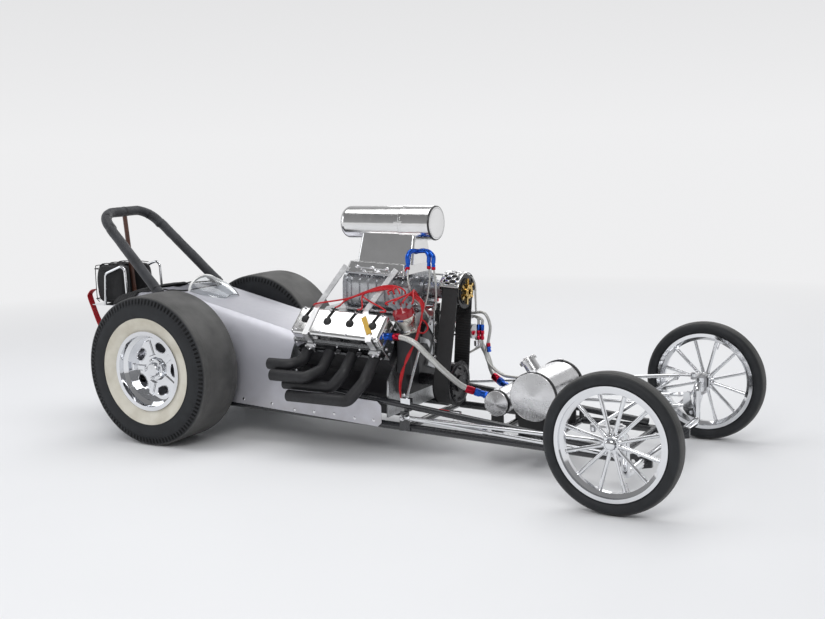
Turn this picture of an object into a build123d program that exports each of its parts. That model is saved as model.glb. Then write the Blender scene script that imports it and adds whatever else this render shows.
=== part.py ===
from build123d import *
import os
from math import cos, hypot, radians, sin

# Short-wheelbase front-engine race car with a blown V8, in millimetres.
# +X is forward, +Y is the car's left and +Z is up. The floor is z = 0, and the
# origin lies on the floor under the middle of the car's box.

# Overall layout, stations measured ahead of the rear axle
WHEELBASE = 2530.0
FRONT_TYRE_R = 297.0
REAR_TYRE_R = 389.0
REAR_REACH = 832.0
REAR_AXLE_X = (REAR_REACH - WHEELBASE - FRONT_TYRE_R) / 2
GAP = 0.3
RUNNING = 0.05
FAR = 2000.0

# Front wheels
FRONT_TRACK_Y = 665.0
FRONT_LIP_R = 241.0
FRONT_BEAD_R = 228.6
FRONT_RIM_HALF = 35.0
FRONT_WELL_R = 211.0
FRONT_WELL_HALF = 9.0
FRONT_TYRE_HALF = 45.0
FRONT_BULGE = 35.0
FRONT_SHOULDER = 12.0
RIM_WALL = 4.5
SPOKES = 12
SPOKE_R = 7.0
SPOKE_FOOT_R = 12.0
SPOKE_FOOT_LEN = 14.0
HUB_R = 31.0
HUB_INNER = -42.0
HUB_OUTER = 22.0
HUB_CAP = 12.0
HUB_BORE_END = 4.0
SPINDLE_R = 12.0
SPINDLE_SHORT = 12.0

# Rear wheels
REAR_TRACK_Y = 473.5
REAR_LIP_R = 207.0
REAR_BEAD_R = 190.5
REAR_RIM_HALF = 127.0
REAR_WELL_R = 172.0
REAR_TYRE_HALF = 134.5
REAR_BULGE = 142.0
REAR_BULGE_IN = 99.0
REAR_DISC_Z = 52.0
REAR_DISC_T = 8.0
REAR_HUB_R = 62.0
REAR_BOSS_R = 48.0
REAR_BOSS_OUT = 18.0
REAR_HUB_LEN = 165.0
REAR_SLOTS = 5
REAR_SLOT_R = 118.0
REAR_SLOT_LEN = 78.0
REAR_SLOT_W = 46.0
AXLE_SHAFT_R = 20.0
AXLE_TUBE_OUT_R = 38.0
AXLE_FLANGE_R = 62.0
AXLE_FLANGE_Y = 118.0
AXLE_CASE_R = 125.0
PINION_R = 70.0
PINION_START = 80.0
PINION_END = 170.0
PINION_TIP_R = 45.0
AXLE_END_SPACE = 6.0

# Frame
RAIL_R = 19.0
RAIL_Y = 273.2
RAIL_REAR_X = -625.0
RAIL_REAR_Z = 210.0
RAIL_FRONT_X = WHEELBASE - 90.0
RAIL_FRONT_Z = 123.7
UPPER_R = 16.0
UPPER_REAR_X = 600.0
UPPER_REAR_Z = 338.0
UPPER_FRONT_X = WHEELBASE - 165.0
UPPER_FRONT_Z = 158.4
CROSS_R = 17.0
CROSS_STATIONS = (-564.0, -250.0, 560.0, 1345.0, 1762.0, 1900.0, 2025.0, WHEELBASE - 130.0)
UPRIGHT_R = 12.0
UPRIGHT_STATIONS = (1345.0, 1762.0, 2025.0)
PLATE_T = 10.0
AXLE_PLATE_HALF = 52.0
AXLE_PLATE_FOOT = 82.0
HOOP_R = 25.0
HOOP_FOOT = -207.0
HOOP_FOOT_Z = 752.0
HOOP_FOOT_Y = 252.0
HOOP_KNEE = -20.0
HOOP_TOP_Y = 196.0
HOOP_HEIGHT = 604.0
HOOP_LEAN = 42.5
HOOP_BEND = 110.0
BRACE_R = 13.0
BRACE_FOOT_X = -564.0

# Front axle and steering
AXLE_X = WHEELBASE
AXLE_Z = FRONT_TYRE_R
AXLE_TUBE_R = 19.0
AXLE_DROP_Z = 122.0
AXLE_BEND = 25.0
AXLE_KNEE_Y = 519.0
AXLE_FOOT_Y = 505.0
KINGPIN_Y = 565.0
KINGPIN_R = 9.0
BOSS_R = 21.0
BOSS_HALF = 34.0
EAR_T = 15.0
EAR_GAP = 0.5
FLANGE_T = 18.0
FLANGE_SPACE = 5.0
ARM_LEN = 120.0
ARM_T = 10.0
ARM_HALF = 10.0
DRAG_ARM = 110.0
PIN_R = 6.0
PIN_HEAD_R = 10.0
PIN_HEAD_T = 3.0
EYE_R = 13.0
EYE_T = 16.0
EYE_SPACE = 1.5
ROD_R = 9.0
PERCH_REAR = RAIL_FRONT_X
PERCH_FRONT = WHEELBASE + 38.0
PERCH_T = 16.0
TOW_X = WHEELBASE - 48.0
TOW_Z = 116.0
TOW_HOLE_R = 11.0
BATWING_Y = 485.0
BATWING_T = 8.0
RADIUS_ROD_R = 9.5
ROD_EYE_R = 15.0
ROD_EYE_T = 25.0
ROD_REAR_X = 1345.0
ROD_REAR_Z = 212.0
ROD_FRONT_X = WHEELBASE - 42.0
ROD_FRONT_Z = (200.0, 255.0)
ROD_BOLT_R = 7.0
ROD_HEAD_R = 12.0
ROD_HEAD_T = 6.0
BRACKET_Y = 292.5
BRACKET_IN = 2.0
BRACKET_T = 6.0
PITMAN_X = 470.0
PITMAN_Y = 328.0
PITMAN_Z = 315.0
PITMAN_LEN = 150.0
PITMAN_T = 12.0
PITMAN_SHAFT_R = 12.0
LINK_Y = 345.0
LINK_RING_R = 18.0
LINK_RING_BORE = 12.5
LINK_RING_T = 8.0
LINK_PIN_R = 5.5
LINK_NECK_R = 4.5
LINK_NECK = 30.0
PITMAN_TOP_HALF = 16.0
PITMAN_LOW_HALF = 10.0
PITMAN_TOP_R = 20.0
PITMAN_LOW_R = 13.0
BOX_X = (415.0, 525.0)
BOX_Y = (190.0, 285.0)
BOX_Z = (255.0, 370.0)
BOX_SEAL = 25.0
BOX_FOOT_IN = (15.0, 20.0)
WHEEL_X = -175.0
WHEEL_Z = 610.0
WHEEL_R = 118.0
WHEEL_RIM_R = 9.0
WHEEL_SPOKE_W = 34.0
WHEEL_SPOKE_T = 4.0
WHEEL_HUB = (-10.0, 12.0)
WHEEL_HUB_R = 26.0
COLUMN_R = 10.0
COLUMN_LEN = 520.0
COLUMN_DROP = 14.0
SUPPORT_AT = 440.0
SUPPORT_R = 20.0
SUPPORT_BAR_R = 12.0

# Body shell
SHEET = 2.5
BODY_HALF = 298.0
DECK_HALF = 190.0
DECK_CROWN = 8.0
SHOULDER_DROP = 230.0
SEAM = 2.0
DECK_LINE = ((671.0, 562.0), (-200.0, 761.0), (-370.0, 745.0), (-560.0, 692.0))
DASH_X = DECK_LINE[0][0]
TAIL_X = DECK_LINE[-1][0]
SKIRT_LOW = ((1215.0, 168.0), (1193.0, 148.0), (-330.0, 226.0), (-560.0, 330.0))
SKIRT_X = SKIRT_LOW[0][0]
SKIRT_CORNER = 22.0
SKIRT_TOP_Z = 274.0
SKIRT_NECK_Z = 300.0
SKIRT_SWEEP = 90.0
COCKPIT_REAR = -500.0
COCKPIT_FRONT = -95.0
COCKPIT_HALF = 205.0
COCKPIT_CORNER = 60.0
FIREWALL_X = 656.0
FIREWALL_T = 3.0
FLOOR_REAR = -540.0
FLOOR_FRONT = FIREWALL_X - GAP
UNDER_X = 900.0
AXLE_HOLE_R = 48.0
SHAFT_HOLE_R = 15.0

# Windscreen, as half widths and heights at stations
SCREEN_STATIONS = ((-85.0, 128.0, 78.0), (25.0, 116.0, 58.0), (104.0, 60.0, 24.0))
SCREEN_T = 3.0
SCREEN_TRIM_R = 9.0

# Seat and parachute
SEAT_T = 5.0
SEAT_HALF = 178.0
BOLSTER = 95.0
# The seat's shell from the side, as stations and heights above the floor sheet
SEAT_SIDE = ((-150.0, 52.0), (-230.0, GAP), (-395.0, GAP), (-430.0, 26.0), (-520.0, 411.0))
PACK_X = (-790.0, -566.0)
PACK_Z = (640.0, 865.0)
PACK_HALF = 135.0
PACK_EDGE = 22.0
PACK_NOTCH_SPACE = 8.0
PACK_NOTCH_HALF = 48.0
TRAY_REAR = PACK_X[0]
TRAY_RIM = 19.0
TRAY_T = 4.0
TRAY_OUT = 22.0
LOOP_R = 7.5
LOOP_Y = 146.0
LOOP_BEND = 30.0
LOOP_REAR_X = -700.0
LOOP_REAR_Z = 818.0
LOOP_RAKE = 15.0
LOOP_TOP_Z = 872.0
LOOP_FOOT_X = -532.0
TAIL_FALL = 3.0
STRAP_X = (-832.0, -735.0)
STRAP_Z = (690.0, 500.0)
STRAP_W = 38.0
STRAP_T = 5.0
STRAP_ROOT = 80.0

# Engine, in its own frame: x along the crank, origin under the middle of the bores
ENGINE_X = 975.0
CRANK_Z = 350.0
ENGINE_RAKE = 2.3
BANK = 45.0
BORE_X = (195.0, 65.0, -65.0, -195.0)
BLOCK_REAR = -275.0
BLOCK_FRONT = 255.0
BLOCK_SKIRT_Y = 140.0
BLOCK_SKIRT_Z = (-70.0, 30.0)
VALLEY_Y = 62.0
VALLEY_Z = 168.0
DECK_N = 270.0
HEAD_N = 360.0
COVER_N = 424.0
HEAD_HALF = 85.0
COVER_HALF = 79.0
HEAD_END = 262.0
COVER_END = 256.0
COVER_EDGE = 16.0
PAN_HALF = 110.0
PAN_END = 250.0
PAN_DEPTH = 115.0
PAN_TAPER = 22.0
PAN_CORNER = 12.0
MOTOR_PLATE_HALF = 262.0
CAN_FRONT_R = 165.0
CAN_REAR_R = 90.0
CAN_LEN = 170.0
CAN_HOLE_R = 158.0
FRONT_COVER_T = 34.0
TOWER_X = 361.0
TOWER_Y = (-195.0, -115.0)
TOWER_Z = (60.0, 265.0)
TOWER_CORNER = 14.0
MAG_X = 323.0
MAG_Y = -155.0
MAG_LEAN = (-0.185, -0.32, 0.929)
MAG_BODY_R = 37.0
MAG_BODY_LEN = 125.0
MAG_CAP_R = 47.0
MAG_CAP_LEN = 60.0
MANIFOLD_IN = 5.0
MANIFOLD_OUT = 35.0
MANIFOLD_TOP = 118.0
RUNNER_GAP = (48.0, 110.0, 190.0)
RUNNER_GAP_Y = 155.0
RUNNER_GAP_Z = 240.0
BLOWER_REAR = -62.0
BLOWER_FRONT = 280.0
BLOWER_BASE = 340.0
BLOWER_TOP = 535.0
BLOWER_HALF = 126.0
BLOWER_ROUND = 62.0
BLOWER_RIB = 6.0
BLOWER_RIBS = 7
BLOWER_FLANGE_T = 12.0
BLOWER_FLANGE_HALF = 138.0
BLOWER_END_T = 20.0
SNOUT_R = 45.0
DRIVE_Y = 55.0
DRIVE_Z = 452.0
BELT_REAR = 430.0
BELT_W = 82.0
BELT_T = 9.0
TOP_PULLEY_R = 72.0
CRANK_PULLEY_R = 100.0
FLANGE_RISE = 4.0
FLANGE_W = 4.0
CRANK_SNOUT_R = 30.0
CRANK_HUB_R = 42.0
CRANK_HUB = 12.0
STARTER_HUB_R = 34.0
STARTER_R = 14.0
STARTER_DEPTH = 20.0
IDLER_R = 38.0
IDLER_Y = 164.0
IDLER_Z = 235.0
IDLER_SHAFT_R = 13.0
IDLER_ARM_T = 14.0
GUARD_R = 93.0
GUARD_T = 3.0
GUARD_X = (414.0, 522.0)
GUARD_WEB = 4.0
GUARD_DROP = 110.0
HAT_BASE = (350.0, 286.0)
HAT_STEP = (326.0, 240.0)
HAT_STEP_H = 48.0
HAT_NECK = (320.0, 206.0)
HAT_TOP = (306.0, 128.0)
HAT_X = 110.0
HAT_NECK_X = 140.0
SCOOP_R = 82.0
SCOOP_Z = 1120.0
SCOOP_REAR = 859.0
SCOOP_CAP = 1209.0
SCOOP_FRONT = 1387.0
SCOOP_BACK_EDGE = 40.0
CAP_RISE = 3.0
CAP_EDGE = 12.0

# Exhaust pipes: each port's bore, how far it leaves square to the head, then the
# knee and the run as (station, half track, height), and where the run ends
PIPE_R = 29.0
PIPE_BORE = 26.0
PIPE_BORE_LEN = 60.0
PIPE_BEND = 45.0
PORT_N = 294.0
PORT_FLANGE = (80.0, 46.0, 8.0)
PIPES = (
    (BORE_X[0], 150.0, 1110.0, 430.0, 294.0, 760.0),
    (BORE_X[1], 110.0, 988.0, 385.0, 343.0, 710.0),
    (BORE_X[2], 115.0, 866.0, 430.0, 391.0, 665.0),
    (BORE_X[3], 78.0, 740.0, 385.0, 437.0, 620.0),
)

# Blower straps: where each leaves the injector, crosses the cover and ends
HAT_STRAPS = ((-57.5, -160.0, -157.0), (232.7, 122.0, 211.0))
HOLD_W = 30.0
HOLD_T = 5.0
HOLD_TOP_Y = -141.0
HOLD_TOP_Z = 560.0
CLAMP_SIZE = (44.0, 24.0, 24.0)
CLAMP_N = 338.0
STRUT_R = 7.0
STRUT_TOP = (1381.0, -190.0, 538.0)
STRUT_LUG = (1325.0, -165.0, 538.0)
CLEVIS = 26.0

# Tanks
TANK_R = 113.0
TANK_X = 1962.0
TANK_Z = 334.0
TANK_HALF = 175.0
CATCH_R = 60.0
CATCH_X = 1762.0
CATCH_Z = 282.0
CATCH_HALF = 150.0
TANK_CONE = 10.0
BAND_T = 4.0
BAND_W = 14.0
BAND_IN = 8.0
TANK_FOOT = 78.0
CATCH_FOOT = 30.0
PORT_Y = 74.0
PORT_R = 14.0
PORT_REACH = 78.0
PORT_WAY = (-0.84, -0.44, 0.33)
PORT_RUN = 198.0
NECK_R = 34.0
NECK_LEAN = 36.0
NECK_END = 158.0
FILLER_R = 42.0
FILLER_T = 18.0

# Hoses
HOSE_R = 14.0
HOSE_POINTS = (
    (1242.0, -290.0, 598.0),
    (1385.0, -290.0, 597.0),
    (1530.0, -238.0, 440.0),
)

PIECES = {}


def fwd(distance):
    """The x of a station this far ahead of the rear axle."""
    return REAR_AXLE_X + distance


def on_car(x, y, z):
    """A point given from the rear axle's line, the middle plane and the floor."""
    return (fwd(x), y, z)


def keep(name, part):
    """Label a finished piece and keep it for export."""
    part.label = name
    PIECES[name] = part


def mirrored(part):
    """The same piece on the car's other side."""
    return mirror(part, about=Plane.XZ)


def bent_tube(points, bend, radius):
    """A round bar along a line with rounded corners."""
    with BuildPart() as tube:
        with BuildLine() as path:
            if len(points) > 2:
                FilletPolyline(*points, radius=bend)
            else:
                Line(*points)
        with BuildSketch(Plane(origin=path.line @ 0, z_dir=path.line % 0)):
            Circle(radius)
        sweep()
    return tube.part


def bar(start, end, radius):
    """A straight round bar between two points."""
    return bent_tube([start, end], 0, radius)


def cross_bar(x, y_low, y_high, z, radius):
    """A round bar lying across the car."""
    return bar(on_car(x, y_low, z), on_car(x, y_high, z), radius)


def block_between(x_range, y_range, z_range):
    """A plain block between two stations, two widths and two heights."""
    size = (x_range[1] - x_range[0], y_range[1] - y_range[0], z_range[1] - z_range[0])
    with BuildPart() as block:
        with Locations(on_car(sum(x_range) / 2, sum(y_range) / 2, sum(z_range) / 2)):
            Box(*size)
    return block.part


def side_plate(outline, y_low, y_high):
    """A plate drawn from the side, as stations and heights, between two widths."""
    with BuildPart() as plate:
        with BuildSketch(Plane(origin=(0, y_low, 0), x_dir=(1, 0, 0), z_dir=(0, -1, 0))):
            Polygon(*[(fwd(x), z) for x, z in outline], align=None)
        extrude(amount=y_low - y_high)
    return plate.part


def together(parts):
    """Pieces that are kept as one."""
    with BuildPart() as group:
        for part in parts:
            add(part)
    return group.part


def both_sides(part):
    """A piece and its mirror image, kept as one."""
    return together([part, mirrored(part)])


def revolved(build_profile):
    """A turned piece about its own Z axis, from a profile drawn in XZ."""
    with BuildPart() as turned:
        with BuildSketch(Plane.XZ):
            with BuildLine():
                build_profile()
            make_face()
        revolve(axis=Axis.Z)
    return turned.part


def wheel_place(x, y, z):
    """Where a wheel's own Z points outwards on its side of the car."""
    return Location(on_car(x, y, z), (-90 if y > 0 else 90, 0, 0))


# Front wheels, in their own frame with +Z outboard


def front_rim():
    half = FRONT_RIM_HALF
    well_half = FRONT_WELL_HALF

    def profile():
        Polyline(
            (FRONT_LIP_R, half), (FRONT_LIP_R, half - 3.5), (FRONT_BEAD_R + 2.5, half - 5),
            (FRONT_BEAD_R, half - 7), (FRONT_BEAD_R, well_half + 7), (FRONT_WELL_R, well_half),
            (FRONT_WELL_R, -well_half), (FRONT_BEAD_R, -well_half - 7), (FRONT_BEAD_R, 7 - half),
            (FRONT_BEAD_R + 2.5, 5 - half), (FRONT_LIP_R, 3.5 - half), (FRONT_LIP_R, -half),
            (FRONT_BEAD_R - RIM_WALL, -half), (FRONT_BEAD_R - RIM_WALL, -well_half - 8),
            (FRONT_WELL_R - RIM_WALL, -well_half - 2), (FRONT_WELL_R - RIM_WALL, well_half + 2),
            (FRONT_BEAD_R - RIM_WALL, well_half + 8), (FRONT_BEAD_R - RIM_WALL, half),
            close=True,
        )

    barrel = revolved(profile)
    with BuildPart() as rim:
        add(barrel)
        with BuildSketch(Plane.XY.offset(HUB_INNER)):
            Circle(HUB_R)
        extrude(amount=HUB_OUTER - HUB_INNER)
        with BuildSketch(Plane.XY.offset(HUB_OUTER)):
            Circle(HUB_R - HUB_BORE_END)
        extrude(amount=HUB_CAP, taper=35)
        for number in range(SPOKES):
            angle = radians(360 / SPOKES * (number + 0.5))
            outwards = (cos(angle), sin(angle), 0)
            with BuildSketch(Plane(origin=(0, 0, 0), z_dir=outwards)):
                Circle(SPOKE_R)
            extrude(amount=FRONT_WELL_R - RIM_WALL / 2)
            foot = Plane(origin=(cos(angle) * HUB_R, sin(angle) * HUB_R, 0), z_dir=outwards)
            with BuildSketch(foot.offset(-SPOKE_R)):
                Circle(SPOKE_FOOT_R)
            extrude(amount=SPOKE_FOOT_LEN + SPOKE_R, taper=8)
        with BuildSketch(Plane.XY.offset(HUB_INNER)):
            Circle(SPINDLE_R + RUNNING)
        extrude(amount=HUB_OUTER - HUB_INNER - HUB_BORE_END, mode=Mode.SUBTRACT)
    return rim.part


def front_tyre():
    seat = FRONT_BEAD_R + GAP
    bead = FRONT_RIM_HALF - 7.5
    half = FRONT_TYRE_HALF
    crown = FRONT_TYRE_R
    bulge = FRONT_TYRE_R - FRONT_BULGE
    shoulder = FRONT_TYRE_R - FRONT_SHOULDER

    def profile():
        Line((seat, -bead), (seat, bead))
        Line((seat, bead), (seat + 14, bead + 1))
        ThreePointArc((seat + 14, bead + 1), (bulge, half), (shoulder, half - 9))
        ThreePointArc((shoulder, half - 9), (crown, 0), (shoulder, 9 - half))
        ThreePointArc((shoulder, 9 - half), (bulge, -half), (seat + 14, -bead - 1))
        Line((seat + 14, -bead - 1), (seat, -bead))

    return revolved(profile)


# Rear wheels, in their own frame with +Z outboard


def rear_rim():
    half = REAR_RIM_HALF

    def profile():
        Polyline(
            (REAR_LIP_R, half), (REAR_LIP_R, half - 4), (REAR_BEAD_R + 3, half - 6),
            (REAR_BEAD_R, half - 9), (REAR_BEAD_R, half - 34), (REAR_WELL_R, half - 48),
            (REAR_WELL_R, 60 - half), (REAR_BEAD_R, 46 - half), (REAR_BEAD_R, 9 - half),
            (REAR_BEAD_R + 3, 6 - half), (REAR_LIP_R, 4 - half), (REAR_LIP_R, -half),
            (REAR_BEAD_R - RIM_WALL, -half), (REAR_BEAD_R - RIM_WALL, 42 - half),
            (REAR_WELL_R - RIM_WALL, 56 - half), (REAR_WELL_R - RIM_WALL, half - 44),
            (REAR_BEAD_R - RIM_WALL, half - 30), (REAR_BEAD_R - RIM_WALL, half),
            close=True,
        )

    barrel = revolved(profile)
    with BuildPart() as rim:
        add(barrel)
        with BuildSketch(Plane.XY.offset(REAR_DISC_Z - REAR_DISC_T)):
            Circle(REAR_WELL_R - RIM_WALL / 2)
            with PolarLocations(REAR_SLOT_R, REAR_SLOTS):
                SlotOverall(REAR_SLOT_LEN, REAR_SLOT_W, rotation=90, mode=Mode.SUBTRACT)
        extrude(amount=REAR_DISC_T)
        with BuildSketch(Plane.XY.offset(REAR_DISC_Z)):
            Circle(REAR_HUB_R)
        extrude(amount=REAR_BOSS_OUT, taper=20)
        with BuildSketch(Plane.XY.offset(REAR_DISC_Z - REAR_DISC_T)):
            Circle(REAR_BOSS_R)
        extrude(amount=-REAR_HUB_LEN)
        with BuildSketch(Plane.XY.offset(REAR_DISC_Z - REAR_DISC_T - REAR_HUB_LEN)):
            Circle(AXLE_SHAFT_R + RUNNING)
        extrude(amount=REAR_HUB_LEN + REAR_DISC_T, mode=Mode.SUBTRACT)
    return rim.part


def rear_tyre():
    seat = REAR_BEAD_R + GAP
    bead = REAR_RIM_HALF - 9.5
    crown = REAR_TYRE_R
    half = REAR_TYRE_HALF
    bulge = REAR_TYRE_R - REAR_BULGE_IN

    def profile():
        Line((seat, -bead), (seat, bead))
        Line((seat, bead), (seat + 20, bead + 1))
        ThreePointArc((seat + 20, bead + 1), (bulge, REAR_BULGE), (crown - 16, half))
        ThreePointArc((crown - 16, half), (crown - 6, half - 4), (crown - 3, half - 14))
        ThreePointArc((crown - 3, half - 14), (crown, 0), (crown - 3, 14 - half))
        ThreePointArc((crown - 3, 14 - half), (crown - 6, 4 - half), (crown - 16, -half))
        ThreePointArc((crown - 16, -half), (bulge, -REAR_BULGE), (seat + 20, -bead - 1))
        Line((seat + 20, -bead - 1), (seat, -bead))

    return revolved(profile)


front_rim_blank = front_rim()
front_tyre_blank = front_tyre()
rear_rim_blank = rear_rim()
rear_tyre_blank = rear_tyre()
for side, sign in (("left", 1), ("right", -1)):
    front_place = wheel_place(WHEELBASE, sign * FRONT_TRACK_Y, FRONT_TYRE_R)
    rear_place = wheel_place(0, sign * REAR_TRACK_Y, REAR_TYRE_R)
    keep(f"front_rim_{side}", front_rim_blank.moved(front_place))
    keep(f"front_tyre_{side}", front_tyre_blank.moved(front_place))
    keep(f"rear_rim_{side}", rear_rim_blank.moved(rear_place))
    keep(f"rear_tyre_{side}", rear_tyre_blank.moved(rear_place))


# Rear axle: centre case, tubes and the shafts the wheels turn on


def rear_axle():
    hub_inner = REAR_TRACK_Y + REAR_DISC_Z - REAR_DISC_T - REAR_HUB_LEN
    tube_end = hub_inner - AXLE_END_SPACE
    shaft_end = REAR_TRACK_Y + REAR_DISC_Z - REAR_DISC_T / 2
    reaches = ((tube_end, AXLE_TUBE_OUT_R), (shaft_end, AXLE_SHAFT_R), (AXLE_FLANGE_Y, AXLE_FLANGE_R))
    with BuildPart() as axle:
        for reach, radius in reaches:
            with BuildSketch(Plane(origin=on_car(0, 0, REAR_TYRE_R), z_dir=(0, 1, 0))):
                Circle(radius)
            extrude(amount=reach, both=True)
        with Locations(on_car(0, 0, REAR_TYRE_R)):
            Sphere(AXLE_CASE_R)
        with BuildSketch(Plane(origin=on_car(PINION_START, 0, REAR_TYRE_R), z_dir=(1, 0, 0))):
            Circle(PINION_R)
        with BuildSketch(Plane(origin=on_car(PINION_END, 0, REAR_TYRE_R), z_dir=(1, 0, 0))):
            Circle(PINION_TIP_R)
        loft()
    return axle.part


keep("rear_axle", rear_axle())


# Frame rails and the members between them


def rail_z(x):
    """Height of the lower rails' middle line at a station."""
    share = (x - RAIL_REAR_X) / (RAIL_FRONT_X - RAIL_REAR_X)
    return RAIL_REAR_Z + share * (RAIL_FRONT_Z - RAIL_REAR_Z)


def upper_z(x):
    """Height of the upper rails' middle line at a station."""
    share = (x - UPPER_REAR_X) / (UPPER_FRONT_X - UPPER_REAR_X)
    return UPPER_REAR_Z + share * (UPPER_FRONT_Z - UPPER_REAR_Z)


def lower_rail(radius):
    start = on_car(RAIL_REAR_X, RAIL_Y, RAIL_REAR_Z)
    return bar(start, on_car(RAIL_FRONT_X, RAIL_Y, RAIL_FRONT_Z), radius)


def upper_rail(radius):
    start = on_car(UPPER_REAR_X, RAIL_Y, UPPER_REAR_Z)
    return bar(start, on_car(UPPER_FRONT_X, RAIL_Y, UPPER_FRONT_Z), radius)


def uprights(radius):
    """The short posts between a lower rail and the upper rail above it."""
    posts = []
    for x in UPRIGHT_STATIONS:
        posts.append(bar(on_car(x, RAIL_Y, rail_z(x)), on_car(x, RAIL_Y, upper_z(x)), radius))
    return together(posts)


def axle_plate():
    """Plate that carries the rear axle on one rail."""
    low = rail_z(0) + RAIL_R / 2
    high = REAR_TYRE_R + AXLE_PLATE_HALF
    outline = (
        (-AXLE_PLATE_FOOT, low), (AXLE_PLATE_FOOT, low), (AXLE_PLATE_HALF, REAR_TYRE_R),
        (AXLE_PLATE_HALF / 2, high), (-AXLE_PLATE_HALF / 2, high), (-AXLE_PLATE_HALF, REAR_TYRE_R),
    )
    plate = side_plate(outline, RAIL_Y - PLATE_T / 2, RAIL_Y + PLATE_T / 2)
    return plate - cross_bar(0, RAIL_Y - PLATE_T, RAIL_Y + PLATE_T, REAR_TYRE_R, AXLE_TUBE_OUT_R + GAP)


def perch():
    """Plate at a rail's front end that the front axle passes through."""
    low = rail_z(PERCH_REAR)
    outline = (
        (PERCH_REAR, low + RAIL_R - 2), (PERCH_REAR, low - RAIL_R + 2), (AXLE_X - 20, AXLE_DROP_Z - 36),
        (PERCH_FRONT, AXLE_DROP_Z - 24), (PERCH_FRONT, AXLE_DROP_Z + 22), (AXLE_X - 30, AXLE_DROP_Z + 34),
    )
    plate = side_plate(outline, RAIL_Y - PERCH_T / 2, RAIL_Y + PERCH_T / 2)
    axle_room = cross_bar(AXLE_X, RAIL_Y - PERCH_T, RAIL_Y + PERCH_T, AXLE_DROP_Z, AXLE_TUBE_R + GAP)
    return plate - axle_room - cross_bar(TOW_X, RAIL_Y - PERCH_T, RAIL_Y + PERCH_T, TOW_Z, TOW_HOLE_R)


def rod_bracket():
    """Plate on the rail with the pin that the hairpin's rear eye turns on."""
    low = rail_z(ROD_REAR_X)
    plate = side_plate(
        ((ROD_REAR_X - 30, low - 12), (ROD_REAR_X + 30, low - 12), (ROD_REAR_X + 22, ROD_REAR_Z + 24),
         (ROD_REAR_X - 22, ROD_REAR_Z + 24)), BRACKET_Y - BRACKET_IN, BRACKET_Y + BRACKET_T,
    )
    pin_y = BRACKET_Y + BRACKET_T + 2 * GAP + ROD_EYE_T
    pin = cross_bar(ROD_REAR_X, BRACKET_Y + 1, pin_y + ROD_HEAD_T, ROD_REAR_Z, ROD_BOLT_R)
    return plate + pin + cross_bar(ROD_REAR_X, pin_y, pin_y + ROD_HEAD_T, ROD_REAR_Z, ROD_HEAD_R)


def axle_plate_room():
    """The slot that the axle's plate needs in the floor sheet."""
    reach = AXLE_PLATE_FOOT + GAP
    half = PLATE_T / 2 + GAP
    return block_between((-reach, reach), (RAIL_Y - half, RAIL_Y + half), (rail_z(0), REAR_TYRE_R))


floor_low = RAIL_R + GAP


def floor_top(x):
    """Height of the floor sheet's upper face at a station."""
    return rail_z(x) + floor_low + SHEET


floor_outline = (
    (FLOOR_REAR, floor_top(FLOOR_REAR) - SHEET), (FLOOR_FRONT, floor_top(FLOOR_FRONT) - SHEET),
    (FLOOR_FRONT, floor_top(FLOOR_FRONT)), (FLOOR_REAR, floor_top(FLOOR_REAR)),
)
floor_half = BODY_HALF - SHEET - GAP
frame_side = lower_rail(RAIL_R) + upper_rail(UPPER_R) + uprights(UPRIGHT_R) + perch() + rod_bracket()
frame_left = frame_side + axle_plate()
rail_room = both_sides(lower_rail(RAIL_R + GAP))
upper_room = both_sides(upper_rail(UPPER_R + GAP))
frame_room = rail_room + upper_room + both_sides(uprights(UPRIGHT_R + GAP))
keep("frame_left", frame_left)
keep("frame_right", mirrored(frame_left))


def crossmembers(radius):
    """The tubes between the two lower rails."""
    return together([cross_bar(x, -RAIL_Y, RAIL_Y, rail_z(x), radius) for x in CROSS_STATIONS])


keep("crossmembers", crossmembers(CROSS_R) - frame_room)
cross_room = crossmembers(CROSS_R + GAP)
keep("floor_pan", side_plate(floor_outline, -floor_half, floor_half) - both_sides(axle_plate_room()))


# Roll hoop and its middle brace

HOOP_UP = (-sin(radians(90 - HOOP_LEAN)), cos(radians(90 - HOOP_LEAN)))


def hoop_point(y, height):
    """A point in the hoop's leaning plane, measured up the lean from its feet."""
    return on_car(HOOP_FOOT + HOOP_UP[0] * height, y, HOOP_FOOT_Z + HOOP_UP[1] * height)


def hoop_leg():
    """The left leg's line, upright from the floor sheet and then along the lean."""
    knee_y = HOOP_FOOT_Y + (HOOP_TOP_Y - HOOP_FOOT_Y) * HOOP_KNEE / HOOP_HEIGHT
    knee = hoop_point(knee_y, HOOP_KNEE)
    return [(knee[0], knee_y, rail_z(HOOP_FOOT) + RAIL_R), knee, hoop_point(HOOP_TOP_Y, HOOP_HEIGHT)]


def hoop_line():
    """The hoop's middle line, from one foot over to the other."""
    side = hoop_leg()
    return [(x, -y, z) for x, y, z in side] + list(reversed(side))


under_floor = side_plate(
    ((TAIL_X, 0), (UNDER_X, 0), (UNDER_X, floor_top(UNDER_X) + GAP), (TAIL_X, floor_top(TAIL_X) + GAP)),
    -BODY_HALF, BODY_HALF,
)
hoop_tube = bent_tube(hoop_line(), HOOP_BEND, HOOP_R) - under_floor
left_leg_room = bent_tube(hoop_leg(), HOOP_BEND, HOOP_R + 1)
keep("roll_hoop", hoop_tube)

brace_top = hoop_point(0, HOOP_HEIGHT)
brace_line = (brace_top, on_car(BRACE_FOOT_X, 0, rail_z(BRACE_FOOT_X)))
hoop_skin = bent_tube(hoop_line(), HOOP_BEND, HOOP_R + GAP)
brace_room = bar(*brace_line, BRACE_R + GAP)
keep("roll_brace", bar(*brace_line, BRACE_R) - hoop_skin - cross_room)


# Body shell


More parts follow.
